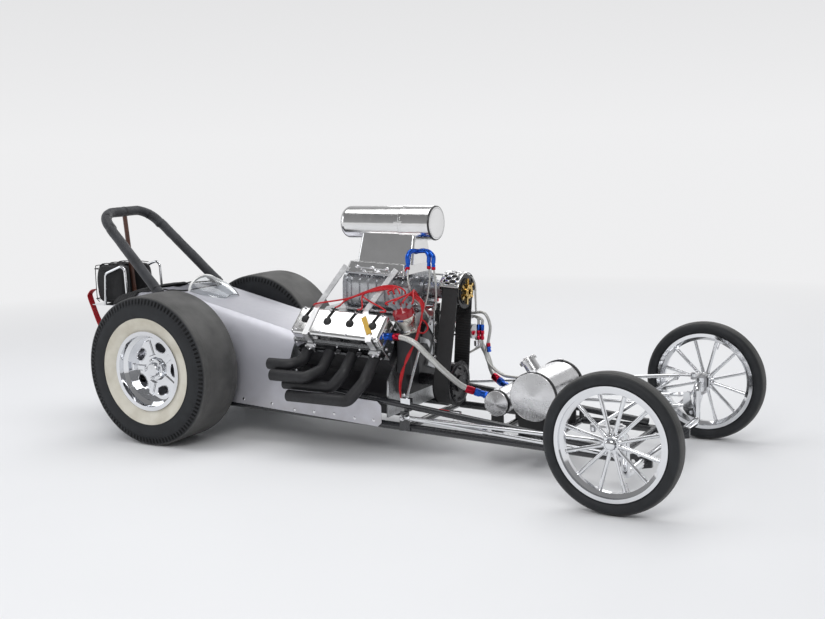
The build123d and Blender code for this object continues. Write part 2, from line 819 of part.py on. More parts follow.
SHOULDER_IN = BODY_HALF - DECK_HALF
SHOULDER_R = (SHOULDER_IN ** 2 + SHOULDER_DROP ** 2) / (2 * SHOULDER_IN)
SHOULDER_Y = BODY_HALF - SHOULDER_R
CROWN_R = (DECK_HALF ** 2 + DECK_CROWN ** 2) / (2 * DECK_CROWN)


def along(table, x):
    """Height at a station, from a table of (station, height) in order."""
    for (start_x, start_z), (end_x, end_z) in zip(table, table[1:]):
        if min(start_x, end_x) <= x <= max(start_x, end_x):
            return start_z + (end_z - start_z) * (x - start_x) / (end_x - start_x)
    return table[0][1]


def edge_z(x):
    """Height of the deck's edge at a station; ahead of the dash it runs level."""
    return DECK_LINE[0][1] if x > DASH_X else along(DECK_LINE, x)


def across_at(x):
    """The plane across the car at a station, with its x to the left and its y up."""
    return Plane(origin=on_car(x, 0, 0), x_dir=(0, 1, 0), z_dir=(1, 0, 0))


def shoulder_end(edge, inset):
    """Where the shoulder's arc meets the deck."""
    share = (SHOULDER_R - inset) / SHOULDER_R
    return (SHOULDER_Y + (DECK_HALF - SHOULDER_Y) * share, edge - SHOULDER_DROP + SHOULDER_DROP * share)


def side_section(x, low):
    """The left side sheet at a station: an upright wall and the shoulder over it."""
    edge = edge_z(x)
    spring = edge - SHOULDER_DROP
    inner = BODY_HALF - SHEET
    with BuildSketch(across_at(x)) as section:
        with BuildLine():
            Line((BODY_HALF, low), (BODY_HALF, spring))
            TangentArc((BODY_HALF, spring), shoulder_end(edge, 0), tangent=(0, 1))
            Line(shoulder_end(edge, 0), shoulder_end(edge, SHEET))
            TangentArc((inner, spring), shoulder_end(edge, SHEET), tangent=(0, 1))
            Line((inner, spring), (inner, low))
            Line((inner, low), (BODY_HALF, low))
        make_face()
    return section.sketch


def deck_drop(y):
    """How far the crowned deck lies below its middle at a width."""
    return CROWN_R - (CROWN_R ** 2 - y ** 2) ** 0.5


def deck_section(x):
    """The deck sheet at a station, between the two side sheets."""
    half = DECK_HALF - SEAM
    middle = edge_z(x) + DECK_CROWN
    side = middle - deck_drop(half)
    with BuildSketch(across_at(x)) as section:
        with BuildLine():
            ThreePointArc((half, side), (0, middle), (-half, side))
            Line((-half, side), (-half, side - SHEET))
            ThreePointArc((-half, side - SHEET), (0, middle - SHEET), (half, side - SHEET))
            Line((half, side - SHEET), (half, side))
        make_face()
    return section.sketch


def full_section(x, low, inset):
    """The body's whole cross-section at a station, drawn in by an inset."""
    edge = edge_z(x)
    spring = edge - SHOULDER_DROP
    half = BODY_HALF - inset
    end_y, end_z = shoulder_end(edge, inset)
    with BuildSketch(across_at(x)) as section:
        with BuildLine():
            Line((-half, low), (half, low))
            Line((half, low), (half, spring))
            TangentArc((half, spring), (end_y, end_z), tangent=(0, 1))
            ThreePointArc((end_y, end_z), (0, edge + DECK_CROWN - inset), (-end_y, end_z))
            TangentArc((-half, spring), (-end_y, end_z), tangent=(0, 1))
            Line((-half, spring), (-half, low))
        make_face()
    return section.sketch


def wall_y(x, z, inset):
    """Half the room inside the body at a station and a height on its shoulder."""
    rise = max(z - (edge_z(x) - SHOULDER_DROP), 0)
    return SHOULDER_Y + ((SHOULDER_R - inset) ** 2 - rise ** 2) ** 0.5


def above_skirt():
    """What is cut from the sides ahead of the dash, down to the skirt."""
    with BuildPart() as solid:
        with BuildSketch(Plane(origin=(0, 0, 0), x_dir=(1, 0, 0), z_dir=(0, -1, 0))) as side:
            Polygon(
                (fwd(DASH_X), FAR), (fwd(DASH_X), SKIRT_NECK_Z), (fwd(SKIRT_X - SKIRT_CORNER), SKIRT_TOP_Z),
                (fwd(SKIRT_X + 1), SKIRT_TOP_Z - SKIRT_CORNER), (fwd(SKIRT_X + 1), FAR), align=None,
            )
            neck = side.vertices().sort_by_distance((fwd(DASH_X), 0, SKIRT_NECK_Z))[0]
            fillet(neck, SKIRT_SWEEP)
        extrude(amount=BODY_HALF + 1, both=True)
    return solid.part


def cockpit_room():
    """What the cockpit opening takes from the deck and the shoulders."""
    middle = (COCKPIT_REAR + COCKPIT_FRONT) / 2
    with BuildPart() as prism:
        with BuildSketch(Plane(origin=on_car(middle, 0, DECK_LINE[0][1]))):
            RectangleRounded(COCKPIT_FRONT - COCKPIT_REAR, 2 * COCKPIT_HALF, COCKPIT_CORNER)
        extrude(amount=FAR)
    return prism.part


side_stations = sorted({x for x, z in DECK_LINE} | {x for x, z in SKIRT_LOW}, reverse=True)
cockpit = cockpit_room()
side_left = loft([side_section(x, along(SKIRT_LOW, x)) for x in side_stations], ruled=True)
axle_hole = cross_bar(0, BODY_HALF - 50, BODY_HALF + 50, REAR_TYRE_R, AXLE_HOLE_R)
shaft_hole = cross_bar(PITMAN_X, BODY_HALF - 50, BODY_HALF + 50, PITMAN_Z, SHAFT_HOLE_R)
side_left = side_left - above_skirt() - cockpit - axle_hole - left_leg_room
keep("side_panel_left", side_left - shaft_hole)
keep("side_panel_right", mirrored(side_left))
cowl_rear = COCKPIT_FRONT - COCKPIT_CORNER
tail_front = COCKPIT_REAR + COCKPIT_CORNER
cowl = loft([deck_section(DASH_X), deck_section(cowl_rear)], ruled=True) - cockpit
tail = loft([deck_section(tail_front), deck_section(TAIL_X)], ruled=True) - cockpit
keep("deck_panels", together([cowl, tail]))

can_z = CRANK_Z + (ENGINE_X - FIREWALL_X) * sin(radians(ENGINE_RAKE))
can_hole = bar(on_car(FIREWALL_X - 20, 0, can_z), on_car(FIREWALL_X + 20, 0, can_z), CAN_HOLE_R)
wall_face = full_section(FIREWALL_X + FIREWALL_T, rail_z(FIREWALL_X) + floor_low, SHEET + 2 * GAP)
firewall = extrude(wall_face, amount=-FIREWALL_T)
keep("firewall", firewall - can_hole - upper_room)


# Windscreen bubble and the white trim round its open rear edge


def bubble(inset):
    with BuildPart() as form:
        for x, half, height in SCREEN_STATIONS:
            shift = -1 if inset and x == SCREEN_STATIONS[0][0] else 0
            with BuildSketch(across_at(x + shift)):
                with Locations((0, edge_z(x))):
                    Ellipse(half - inset, height - inset)
        loft()
    return form.part


def trim():
    x, half, height = SCREEN_STATIONS[0]
    wide = half - SCREEN_TRIM_R / 2
    high = height - SCREEN_TRIM_R / 2
    with BuildPart() as ring:
        with BuildLine(across_at(x - SCREEN_TRIM_R - GAP)) as path:
            EllipticalCenterArc((0, edge_z(x)), wide, high, start_angle=0, arc_size=180)
        with BuildSketch(Plane(origin=path.line @ 0, z_dir=path.line % 0)):
            Circle(SCREEN_TRIM_R)
        sweep()
    return ring.part


deck_skin = loft([full_section(x, along(SKIRT_LOW, x), -GAP) for x, z in DECK_LINE[:2]], ruled=True)
keep("windscreen", bubble(0) - bubble(SCREEN_T) - deck_skin)
keep("screen_trim", trim() - deck_skin)


# Bucket seat on the floor sheet


def past(start, end, amount):
    """A point past the end of a line between two (station, height) points."""
    length = hypot(end[0] - start[0], end[1] - start[1])
    share = amount / length
    return (end[0] + (end[0] - start[0]) * share, end[1] + (end[1] - start[1]) * share)


def seat_prism(outline, half, inset):
    """The seat's side outline carried across the car, drawn in by an inset."""
    with BuildPart() as prism:
        with BuildSketch(Plane(origin=(0, 0, 0), x_dir=(1, 0, 0), z_dir=(0, -1, 0))):
            Polygon(*[(fwd(x), z) for x, z in outline], align=None)
            if inset:
                offset(amount=-inset, kind=Kind.INTERSECTION)
        extrude(amount=half, both=True)
    return prism.part


seat_side = [(x, floor_top(x) + height) for x, height in SEAT_SIDE]
seat_rim = [
    (seat_side[-1][0] + BOLSTER, seat_side[-1][1] - BOLSTER / 3),
    (seat_side[0][0] - BOLSTER, seat_side[0][1] + BOLSTER),
]
lip = past(seat_side[1], seat_side[0], BOLSTER)
crest = past(seat_side[-2], seat_side[-1], BOLSTER)
hollow = [lip, *seat_side[1:-1], crest, (lip[0] + BOLSTER, crest[1])]
seat = seat_prism([*seat_side, *seat_rim], SEAT_HALF, 0) - seat_prism(hollow, SEAT_HALF - SEAT_T, SEAT_T)
keep("seat", seat)


# Parachute pack on its tray behind the tail, with the strap that hangs from it


def strap():
    """The pull strap: out from the pack's back, then forward and down."""
    root = (PACK_X[0] - GAP, PACK_Z[0] + STRAP_ROOT)
    tip = (STRAP_X[0], STRAP_Z[0])
    end = (STRAP_X[1], STRAP_Z[1])
    return side_plate(
        (root, (root[0], root[1] - STRAP_T), (tip[0] + STRAP_T, tip[1]), (end[0], end[1]),
         (end[0] - STRAP_T, end[1]), tip),
        -PACK_HALF - STRAP_W / 2, -PACK_HALF + STRAP_W / 2,
    )


def brace_x(z):
    """The brace's station where it passes a height."""
    foot = BRACE_FOOT_X - HOOP_FOOT
    lean_x = HOOP_UP[0] * HOOP_HEIGHT
    lean_z = HOOP_FOOT_Z + HOOP_UP[1] * HOOP_HEIGHT - rail_z(BRACE_FOOT_X)
    return BRACE_FOOT_X + (lean_x - foot) * (z - rail_z(BRACE_FOOT_X)) / lean_z


pack_body = block_between(PACK_X, (-PACK_HALF, PACK_HALF), PACK_Z)
pack_body = fillet(pack_body.edges(), PACK_EDGE)
notch_x = (brace_x(PACK_Z[1]) - BRACE_R - PACK_NOTCH_SPACE, PACK_X[1] + 1)
notch_z = (PACK_Z[0] - 1, PACK_Z[1] + 1)
notch = block_between(notch_x, (-PACK_NOTCH_HALF, PACK_NOTCH_HALF), notch_z)
keep("parachute_pack", together([pack_body - notch, strap()]))


def side_loop():
    """The bent rod beside the pack, from its tray over to the tail panel."""
    foot_z = edge_z(LOOP_FOOT_X) + DECK_CROWN - deck_drop(LOOP_Y) + GAP
    points = [
        on_car(LOOP_REAR_X, LOOP_Y, PACK_Z[0] - GAP - TRAY_T / 2),
        on_car(LOOP_REAR_X + LOOP_RAKE, LOOP_Y, LOOP_REAR_Z),
        on_car(LOOP_FOOT_X - LOOP_RAKE / 2, LOOP_Y, LOOP_TOP_Z),
        on_car(LOOP_FOOT_X, LOOP_Y, foot_z + TAIL_FALL),
    ]
    return bent_tube(points, LOOP_BEND, LOOP_R)


tray_x = (TRAY_REAR, brace_x(PACK_Z[0]) + BRACE_R + TRAY_RIM)
tray_half = PACK_HALF + TRAY_OUT
tray = block_between(tray_x, (-tray_half, tray_half), (PACK_Z[0] - GAP - TRAY_T, PACK_Z[0] - GAP))
keep("parachute_frame", (tray + both_sides(side_loop())) - brace_room)


# Front axle with its perches, and the hairpin radius rods


def axle_tube(radius):
    side = [
        on_car(AXLE_X, KINGPIN_Y, AXLE_Z),
        on_car(AXLE_X, AXLE_KNEE_Y, AXLE_Z),
        on_car(AXLE_X, AXLE_FOOT_Y, AXLE_DROP_Z),
    ]
    return bent_tube([(x, -y, z) for x, y, z in side] + list(reversed(side)), AXLE_BEND, radius)


def upright_bar(x, y, z_low, z_high, radius):
    return bar(on_car(x, y, z_low), on_car(x, y, z_high), radius)


def front_axle():
    bore = both_sides(upright_bar(AXLE_X, KINGPIN_Y, 0, FAR, KINGPIN_R + RUNNING))
    boss = both_sides(upright_bar(AXLE_X, KINGPIN_Y, AXLE_Z - BOSS_HALF, AXLE_Z + BOSS_HALF, BOSS_R))
    wing = side_plate(
        ((ROD_FRONT_X - ROD_EYE_R, ROD_FRONT_Z[0] - ROD_EYE_R), (AXLE_X - AXLE_TUBE_R / 2, AXLE_DROP_Z),
         (AXLE_X + AXLE_TUBE_R / 2, AXLE_DROP_Z), (ROD_FRONT_X + ROD_EYE_R, ROD_FRONT_Z[1] + ROD_EYE_R),
         (ROD_FRONT_X - ROD_EYE_R, ROD_FRONT_Z[1] + ROD_EYE_R)),
        BATWING_Y - BATWING_T, BATWING_Y,
    )
    head_y = BATWING_Y + 2 * GAP + ROD_EYE_T
    for z in ROD_FRONT_Z:
        wing += cross_bar(ROD_FRONT_X, BATWING_Y - 1, head_y + ROD_HEAD_T, z, ROD_BOLT_R)
        wing += cross_bar(ROD_FRONT_X, head_y, head_y + ROD_HEAD_T, z, ROD_HEAD_R)
    return (axle_tube(AXLE_TUBE_R) + boss + wing + mirrored(wing)) - bore


keep("front_axle", front_axle())


def hairpin():
    """Two rods from one rear eye to the two bolts on the axle's plate."""
    rear = on_car(ROD_REAR_X, BRACKET_Y + BRACKET_T + GAP + ROD_EYE_T / 2, ROD_REAR_Z)
    front_y = BATWING_Y + GAP + ROD_EYE_T / 2
    rod = cross_bar(ROD_REAR_X, rear[1] - ROD_EYE_T / 2, rear[1] + ROD_EYE_T / 2, ROD_REAR_Z, ROD_EYE_R)
    bores = cross_bar(ROD_REAR_X, rear[1] - 50, rear[1] + 50, ROD_REAR_Z, ROD_BOLT_R + RUNNING)
    for z in ROD_FRONT_Z:
        rod += bar(rear, on_car(ROD_FRONT_X, front_y, z), RADIUS_ROD_R)
        rod += cross_bar(ROD_FRONT_X, front_y - ROD_EYE_T / 2, front_y + ROD_EYE_T / 2, z, ROD_EYE_R)
        bores += cross_bar(ROD_FRONT_X, front_y - 50, front_y + 50, z, ROD_BOLT_R + RUNNING)
    return rod - bores


rod_left = hairpin()
keep("radius_rod_left", rod_left)
keep("radius_rod_right", mirrored(rod_left))


# Knuckles, steering rods and the wheel

EAR_LOW = AXLE_Z - BOSS_HALF - EAR_GAP
EAR_HIGH = AXLE_Z + BOSS_HALF + EAR_GAP
ARM_LOW = EAR_HIGH + 1
ARM_HIGH = ARM_LOW + ARM_T
DRAG_LOW = EAR_HIGH + EAR_T - 3
DRAG_HIGH = DRAG_LOW + ARM_T
FLANGE_Y = KINGPIN_Y + BOSS_R + FLANGE_SPACE


def flat_arm(end_x, end_y, z_low, z_high):
    """A flat arm from the left kingpin to a point given from it, with a round end."""
    centre = on_car(AXLE_X, KINGPIN_Y, 0)
    length = hypot(end_x, end_y)
    across = (-end_y / length * ARM_HALF, end_x / length * ARM_HALF)
    with BuildPart() as arm:
        with BuildSketch(Plane(origin=(centre[0], centre[1], z_low))):
            Polygon(across, (-across[0], -across[1]), (end_x - across[0], end_y - across[1]),
                    (end_x + across[0], end_y + across[1]), align=None)
            with Locations((end_x, end_y)):
                Circle(EYE_R)
        extrude(amount=z_high - z_low)
    return arm.part


def knuckle():
    """The left knuckle: kingpin, two ears, flange, stub shaft and tie rod arm."""
    joint = upright_bar(AXLE_X, KINGPIN_Y, EAR_LOW - EAR_T, EAR_HIGH + EAR_T, KINGPIN_R)
    width = (AXLE_X - BOSS_R, AXLE_X + BOSS_R)
    for low in (EAR_LOW - EAR_T, EAR_HIGH):
        joint += upright_bar(AXLE_X, KINGPIN_Y, low, low + EAR_T, BOSS_R)
        joint += block_between(width, (KINGPIN_Y, FLANGE_Y + 1), (low, low + EAR_T))
    joint += block_between(width, (FLANGE_Y, FLANGE_Y + FLANGE_T), (EAR_LOW - EAR_T, EAR_HIGH + EAR_T))
    joint += cross_bar(AXLE_X, FLANGE_Y + 1, FRONT_TRACK_Y + HUB_OUTER - SPINDLE_SHORT, AXLE_Z, SPINDLE_R)
    joint += flat_arm(-ARM_LEN, 0, ARM_LOW, ARM_HIGH)
    tip = AXLE_X - ARM_LEN
    head = ARM_LOW - EYE_T - 2 * EYE_SPACE
    joint += upright_bar(tip, KINGPIN_Y, head - PIN_HEAD_T, ARM_LOW + 1, PIN_R)
    joint += upright_bar(tip, KINGPIN_Y, head - PIN_HEAD_T, head, PIN_HEAD_R)
    return joint


def drag_arm():
    """The left knuckle's second arm, reaching inboard, with its pin."""
    end = KINGPIN_Y - DRAG_ARM
    head = DRAG_HIGH + EYE_T + 2 * EYE_SPACE
    arm = flat_arm(0, -DRAG_ARM, DRAG_LOW, DRAG_HIGH)
    arm += upright_bar(AXLE_X, end, DRAG_HIGH - 1, head + PIN_HEAD_T, PIN_R)
    arm += upright_bar(AXLE_X, end, head, head + PIN_HEAD_T, PIN_HEAD_R)
    return arm


knuckle_left = knuckle()
keep("knuckle_left", knuckle_left + drag_arm())
keep("knuckle_right", mirrored(knuckle_left))

tie_x = AXLE_X - ARM_LEN
tie_low = ARM_LOW - EYE_T - EYE_SPACE
tie_eyes = both_sides(upright_bar(tie_x, KINGPIN_Y, tie_low, tie_low + EYE_T, EYE_R))
tie_bores = both_sides(upright_bar(tie_x, KINGPIN_Y, 0, FAR, PIN_R + RUNNING))
tie_bar = cross_bar(tie_x, -KINGPIN_Y + PIN_R, KINGPIN_Y - PIN_R, tie_low + EYE_T / 2, ROD_R)
keep("tie_rod", (tie_bar + tie_eyes) - tie_bores)

link_y = KINGPIN_Y - DRAG_ARM
link_z = DRAG_HIGH + EYE_SPACE
ring_z = PITMAN_Z - PITMAN_LEN
link_front = on_car(AXLE_X, link_y, link_z + EYE_T / 2 + 1)
link_rear = on_car(PITMAN_X, LINK_Y, ring_z)
link_eye = upright_bar(AXLE_X, link_y, link_z, link_z + EYE_T, EYE_R)
link_ring = cross_bar(PITMAN_X, LINK_Y - LINK_RING_T / 2, LINK_Y + LINK_RING_T / 2, ring_z, LINK_RING_R)
link_bores = upright_bar(AXLE_X, link_y, 0, FAR, PIN_R + RUNNING)
link_bores += cross_bar(PITMAN_X, LINK_Y - 60, LINK_Y + 60, ring_z, LINK_RING_BORE)
link_run = Vector(*link_front) - Vector(*link_rear)
link_start = Vector(*link_rear) + link_run.normalized() * (LINK_RING_BORE + 2)
link_bar = bar(tuple(link_start), link_front, LINK_NECK_R)
mid_start = tuple(link_start + link_run.normalized() * LINK_NECK)
link_mid = bar(mid_start, tuple(link_start + link_run * 0.96), ROD_R)
keep("drag_link", (link_bar + link_mid + link_eye + link_ring) - link_bores)

arm_outline = (
    (PITMAN_X - PITMAN_TOP_HALF, PITMAN_Z), (PITMAN_X + PITMAN_TOP_HALF, PITMAN_Z),
    (PITMAN_X + PITMAN_LOW_HALF, ring_z), (PITMAN_X - PITMAN_LOW_HALF, ring_z),
)
arm_low = PITMAN_Y - PITMAN_T / 2
arm_high = PITMAN_Y + PITMAN_T / 2
pitman = side_plate(arm_outline, arm_low, arm_high)
pitman += cross_bar(PITMAN_X, arm_low, arm_high, PITMAN_Z, PITMAN_TOP_R)
pitman += cross_bar(PITMAN_X, arm_low, arm_high, ring_z, PITMAN_LOW_R)
pitman += cross_bar(PITMAN_X, PITMAN_Y, LINK_Y + LINK_RING_T, ring_z, LINK_PIN_R)
pitman += cross_bar(PITMAN_X, BOX_Y[1] - BOX_SEAL, PITMAN_Y, PITMAN_Z, PITMAN_SHAFT_R)
keep("pitman_arm", pitman)

box_bore = cross_bar(PITMAN_X, BOX_Y[1] - BOX_SEAL - GAP, BOX_Y[1] + 1, PITMAN_Z, PITMAN_SHAFT_R + RUNNING)
box_foot_x = (BOX_X[0] + BOX_FOOT_IN[0], BOX_X[1] - BOX_FOOT_IN[0])
box_foot_y = (BOX_Y[0] + BOX_FOOT_IN[1], BOX_Y[1] - BOX_FOOT_IN[1])
box_foot = block_between(box_foot_x, box_foot_y, (rail_z(BOX_X[0]), BOX_Z[0] + 1))
keep("steering_box", (block_between(BOX_X, BOX_Y, BOX_Z) + box_foot) - box_bore - under_floor)


def steering_wheel():
    """Wheel in its own frame, with the column along +Z."""
    with BuildPart() as wheel:
        with BuildSketch(Plane.XZ):
            with Locations((WHEEL_R, 0)):
                Circle(WHEEL_RIM_R)
        revolve(axis=Axis.Z)
        with BuildSketch(Plane.XY.offset(-WHEEL_SPOKE_T / 2)):
            Rectangle(WHEEL_SPOKE_W, 2 * WHEEL_R)
            Rectangle(2 * WHEEL_R, WHEEL_SPOKE_W)
            Circle(WHEEL_R, mode=Mode.INTERSECT)
        extrude(amount=WHEEL_SPOKE_T)
        with BuildSketch(Plane.XY.offset(WHEEL_HUB[0])):
            Circle(WHEEL_HUB_R)
        extrude(amount=WHEEL_HUB[1] - WHEEL_HUB[0])
        with BuildSketch(Plane.XY):
            Circle(COLUMN_R)
        extrude(amount=COLUMN_LEN)
    return wheel.part


column_place = Location(on_car(WHEEL_X, 0, WHEEL_Z), (0, 90 + COLUMN_DROP, 0))
keep("steering_wheel", steering_wheel().moved(column_place))

with BuildPart() as support_ring:
    with BuildSketch(Plane.XY.offset(SUPPORT_AT)):
        Circle(SUPPORT_R)
    extrude(amount=COLUMN_LEN - SUPPORT_AT - 20)
column_room = Cylinder(COLUMN_R + RUNNING, 3 * COLUMN_LEN).moved(column_place)
support_at = SUPPORT_AT + 30
support_x = WHEEL_X + support_at * cos(radians(COLUMN_DROP))
support_z = WHEEL_Z - support_at * sin(radians(COLUMN_DROP)) - SUPPORT_R - SUPPORT_BAR_R / 2
support_half = wall_y(support_x, support_z + SUPPORT_BAR_R, SHEET + GAP)
support_bar = cross_bar(support_x, -support_half, support_half, support_z, SUPPORT_BAR_R)
keep("column_support", support_ring.part.moved(column_place) + support_bar - column_room)


# Engine, built in its own frame and set in the car with its rake

ENGINE_PLACE = Location(on_car(ENGINE_X, 0, CRANK_Z), (0, ENGINE_RAKE, 0))


def in_car(part):
    """An engine piece put where it stands in the car."""
    return part.moved(ENGINE_PLACE)


def engine_point(x, y, z):
    """A point of the engine's own frame, where it stands in the car."""
    return tuple((ENGINE_PLACE * Location((x, y, z))).position)


def bank_point(n, v):
    """(y, z) of a point n out along the right bank and v across it, outwards."""
    turn = radians(BANK)
    return (-n * sin(turn) - v * cos(turn), n * cos(turn) - v * sin(turn))


def across_engine(x, length, outline):
    """A piece drawn across the engine at station x and carried forward."""
    with BuildPart() as piece:
        with BuildSketch(Plane(origin=(x, 0, 0), x_dir=(0, 1, 0), z_dir=(1, 0, 0))):
            Polygon(*outline, align=None)
        extrude(amount=length)
    return piece.part


def engine_disc(x, length, y, z, radius, end_radius=None):
    """A round piece about a line along the engine, straight or tapered."""
    with BuildPart() as disc:
        with BuildSketch(Plane(origin=(x, y, z), z_dir=(1, 0, 0))):
            Circle(radius)
        if end_radius is None:
            extrude(amount=length)
        else:
            with BuildSketch(Plane(origin=(x + length, y, z), z_dir=(1, 0, 0))):
                Circle(end_radius)
            loft()
    return disc.part


def with_mirror(points):
    """An outline's right half, bottom to top, and its mirror image."""
    return list(points) + [(-y, z) for y, z in reversed(points)]


def bank_block(n_low, n_high, half, x_end, corner):
    """A block on the right bank, square to its bores."""
    y, z = bank_point(n_low, 0)
    turn = radians(BANK)
    with BuildPart() as piece:
        with BuildSketch(Plane(origin=(0, y, z), x_dir=(1, 0, 0), z_dir=(0, -sin(turn), cos(turn)))):
            RectangleRounded(2 * x_end, 2 * half, corner)
        extrude(amount=n_high - n_low)
    return piece.part


block_half = [
    (-BLOCK_SKIRT_Y, BLOCK_SKIRT_Z[0]), (-BLOCK_SKIRT_Y, BLOCK_SKIRT_Z[1]),
    bank_point(DECK_N, HEAD_HALF), bank_point(DECK_N, -HEAD_HALF), (-VALLEY_Y, VALLEY_Z),
]
block = across_engine(BLOCK_REAR, BLOCK_FRONT - BLOCK_REAR, with_mirror(block_half))
with BuildPart() as oil_pan:
    with BuildSketch(Plane.XY.offset(BLOCK_SKIRT_Z[0])):
        RectangleRounded(2 * PAN_END, 2 * PAN_HALF, PAN_CORNER)
    with BuildSketch(Plane.XY.offset(BLOCK_SKIRT_Z[0] - PAN_DEPTH)):
        RectangleRounded(2 * (PAN_END - PAN_TAPER), 2 * (PAN_HALF - PAN_TAPER), PAN_CORNER)
    loft()
keep("engine_block", in_car(block + oil_pan.part))

right_head = bank_block(DECK_N + GAP, HEAD_N, HEAD_HALF, HEAD_END, 6)
keep("cylinder_heads", in_car(both_sides(right_head)))

right_cover = bank_block(HEAD_N + GAP, COVER_N, COVER_HALF, COVER_END, 20)
cover_out = Axis((0, 0, 0), (0, -sin(radians(BANK)), cos(radians(BANK))))
right_cover = fillet(right_cover.faces().sort_by(cover_out)[-1].edges(), COVER_EDGE)
keep("valve_covers", in_car(both_sides(right_cover)))

plate_half = [
    (-MOTOR_PLATE_HALF, -150), (-MOTOR_PLATE_HALF, 30), (-BLOCK_SKIRT_Y, 170), (-VALLEY_Y, VALLEY_Z + 30),
]
rear_plate = across_engine(BLOCK_REAR - GAP - PLATE_T, PLATE_T, with_mirror(plate_half))
front_plate = across_engine(BLOCK_FRONT + GAP, PLATE_T, with_mirror(plate_half))
keep("motor_plates", together([in_car(rear_plate), in_car(front_plate)]) - rail_room - upper_room)

can_front = BLOCK_REAR - 2 * GAP - PLATE_T
can = engine_disc(can_front - CAN_LEN, CAN_LEN, 0, 0, CAN_REAR_R, CAN_FRONT_R)
keep("clutch_can", in_car(can))

cover_start = BLOCK_FRONT + 2 * GAP + PLATE_T
cover_half = [(-130, -60), (-150, -30), (-150, 60), (-60, VALLEY_Z)]
front_cover = across_engine(cover_start, FRONT_COVER_T, with_mirror(cover_half))


def tower(grow):
    """The drive housing that the magneto stands on."""
    length = TOWER_X - cover_start
    with BuildPart() as housing:
        with BuildSketch(Plane(origin=(cover_start + length / 2, sum(TOWER_Y) / 2, TOWER_Z[0]))):
            RectangleRounded(length + 2 * grow, TOWER_Y[1] - TOWER_Y[0] + 2 * grow, TOWER_CORNER)
        extrude(amount=TOWER_Z[1] - TOWER_Z[0])
    return housing.part


keep("front_cover", in_car(front_cover + tower(0)))


# Exhaust pipes


def exhaust_pipe(bore_x, reach, knee_x, track, height, end_x):
    """One right-hand pipe, its flange and its open end."""
    turn = radians(BANK)
    y, z = bank_point(PORT_N, HEAD_HALF + GAP)
    length, width, thick = PORT_FLANGE
    with BuildPart() as flange:
        with BuildSketch(Plane(origin=(bore_x, y, z), x_dir=(1, 0, 0), z_dir=(0, -cos(turn), -sin(turn)))):
            RectangleRounded(length, width, 10)
        extrude(amount=thick)
    start = engine_point(bore_x, *bank_point(PORT_N, HEAD_HALF + GAP + thick / 2))
    square = engine_point(bore_x, *bank_point(PORT_N, HEAD_HALF + GAP + reach))
    points = [start, square, on_car(knee_x, -track, height), on_car(end_x, -track, height)]
    pipe = bent_tube(points, PIPE_BEND, PIPE_R) + in_car(flange.part)
    bore_end = on_car(end_x + PIPE_BORE_LEN, -track, height)
    return pipe - bar(on_car(end_x - 1, -track, height), bore_end, PIPE_BORE)


headers = together([exhaust_pipe(*numbers) for numbers in PIPES])
keep("headers_right", headers)
keep("headers_left", mirrored(headers))


# Blower on its manifold, with the injector and scoop above it

step = 1.5
manifold_half = [
    (-VALLEY_Y + step, VALLEY_Z + step),
    (bank_point(DECK_N, -HEAD_HALF)[0] + step, bank_point(DECK_N, -HEAD_HALF)[1] + step),
    bank_point(DECK_N + 16, -HEAD_HALF - GAP), bank_point(HEAD_N - 14, -HEAD_HALF - GAP),
    (-MANIFOLD_TOP, BLOWER_BASE - GAP),
]
manifold_x = (BORE_X[-1] + MANIFOLD_IN, BORE_X[0] + MANIFOLD_OUT)
manifold = across_engine(manifold_x[0], manifold_x[1] - manifold_x[0], with_mirror(manifold_half))
with BuildPart() as runner_gaps:
    for before, after in zip(BORE_X, BORE_X[1:]):
        with Locations(((before + after) / 2, -RUNNER_GAP_Y, RUNNER_GAP_Z)):
            Box(*RUNNER_GAP)
manifold = manifold - runner_gaps.part - mirrored(runner_gaps.part)
keep("intake_manifold", in_car(manifold))


def rounded_case(x, length, half, low, high, corner):
    """A blower section with rounded corners, carried forward."""
    with BuildPart() as case:
        with BuildSketch(Plane(origin=(x, 0, (low + high) / 2), x_dir=(0, 1, 0), z_dir=(1, 0, 0))):
            RectangleRounded(2 * half, high - low, corner)
        extrude(amount=length)
    return case.part


blower_len = BLOWER_FRONT - BLOWER_REAR
case = rounded_case(BLOWER_REAR, blower_len, BLOWER_HALF, BLOWER_BASE, BLOWER_TOP, BLOWER_ROUND)
rib_pitch = blower_len / BLOWER_RIBS
for number in range(BLOWER_RIBS):
    rib_x = BLOWER_REAR + (number + 0.5) * rib_pitch - BLOWER_RIB / 2
    case += rounded_case(
        rib_x, BLOWER_RIB, BLOWER_HALF + BLOWER_RIB, BLOWER_BASE, BLOWER_TOP, BLOWER_ROUND + BLOWER_RIB / 2,
    )
for low in (BLOWER_BASE, BLOWER_TOP - BLOWER_FLANGE_T):
    high = low + BLOWER_FLANGE_T
    case += rounded_case(BLOWER_REAR, blower_len, BLOWER_FLANGE_HALF, low, high, BLOWER_FLANGE_T / 3)
for start in (BLOWER_REAR - BLOWER_END_T, BLOWER_FRONT):
    case += rounded_case(start, BLOWER_END_T, BLOWER_HALF + 8, BLOWER_BASE, BLOWER_TOP, BLOWER_ROUND)
snout_end = BELT_REAR - FLANGE_W - 2 * GAP
case += engine_disc(BLOWER_FRONT, snout_end - BLOWER_FRONT, DRIVE_Y, DRIVE_Z, SNOUT_R)
keep("blower_case", in_car(case))


def hat_level(z, size, x):
    with BuildSketch(Plane.XY.offset(z)) as level:
        with Locations((x, 0)):
            RectangleRounded(*size, 18)
    return level.sketch


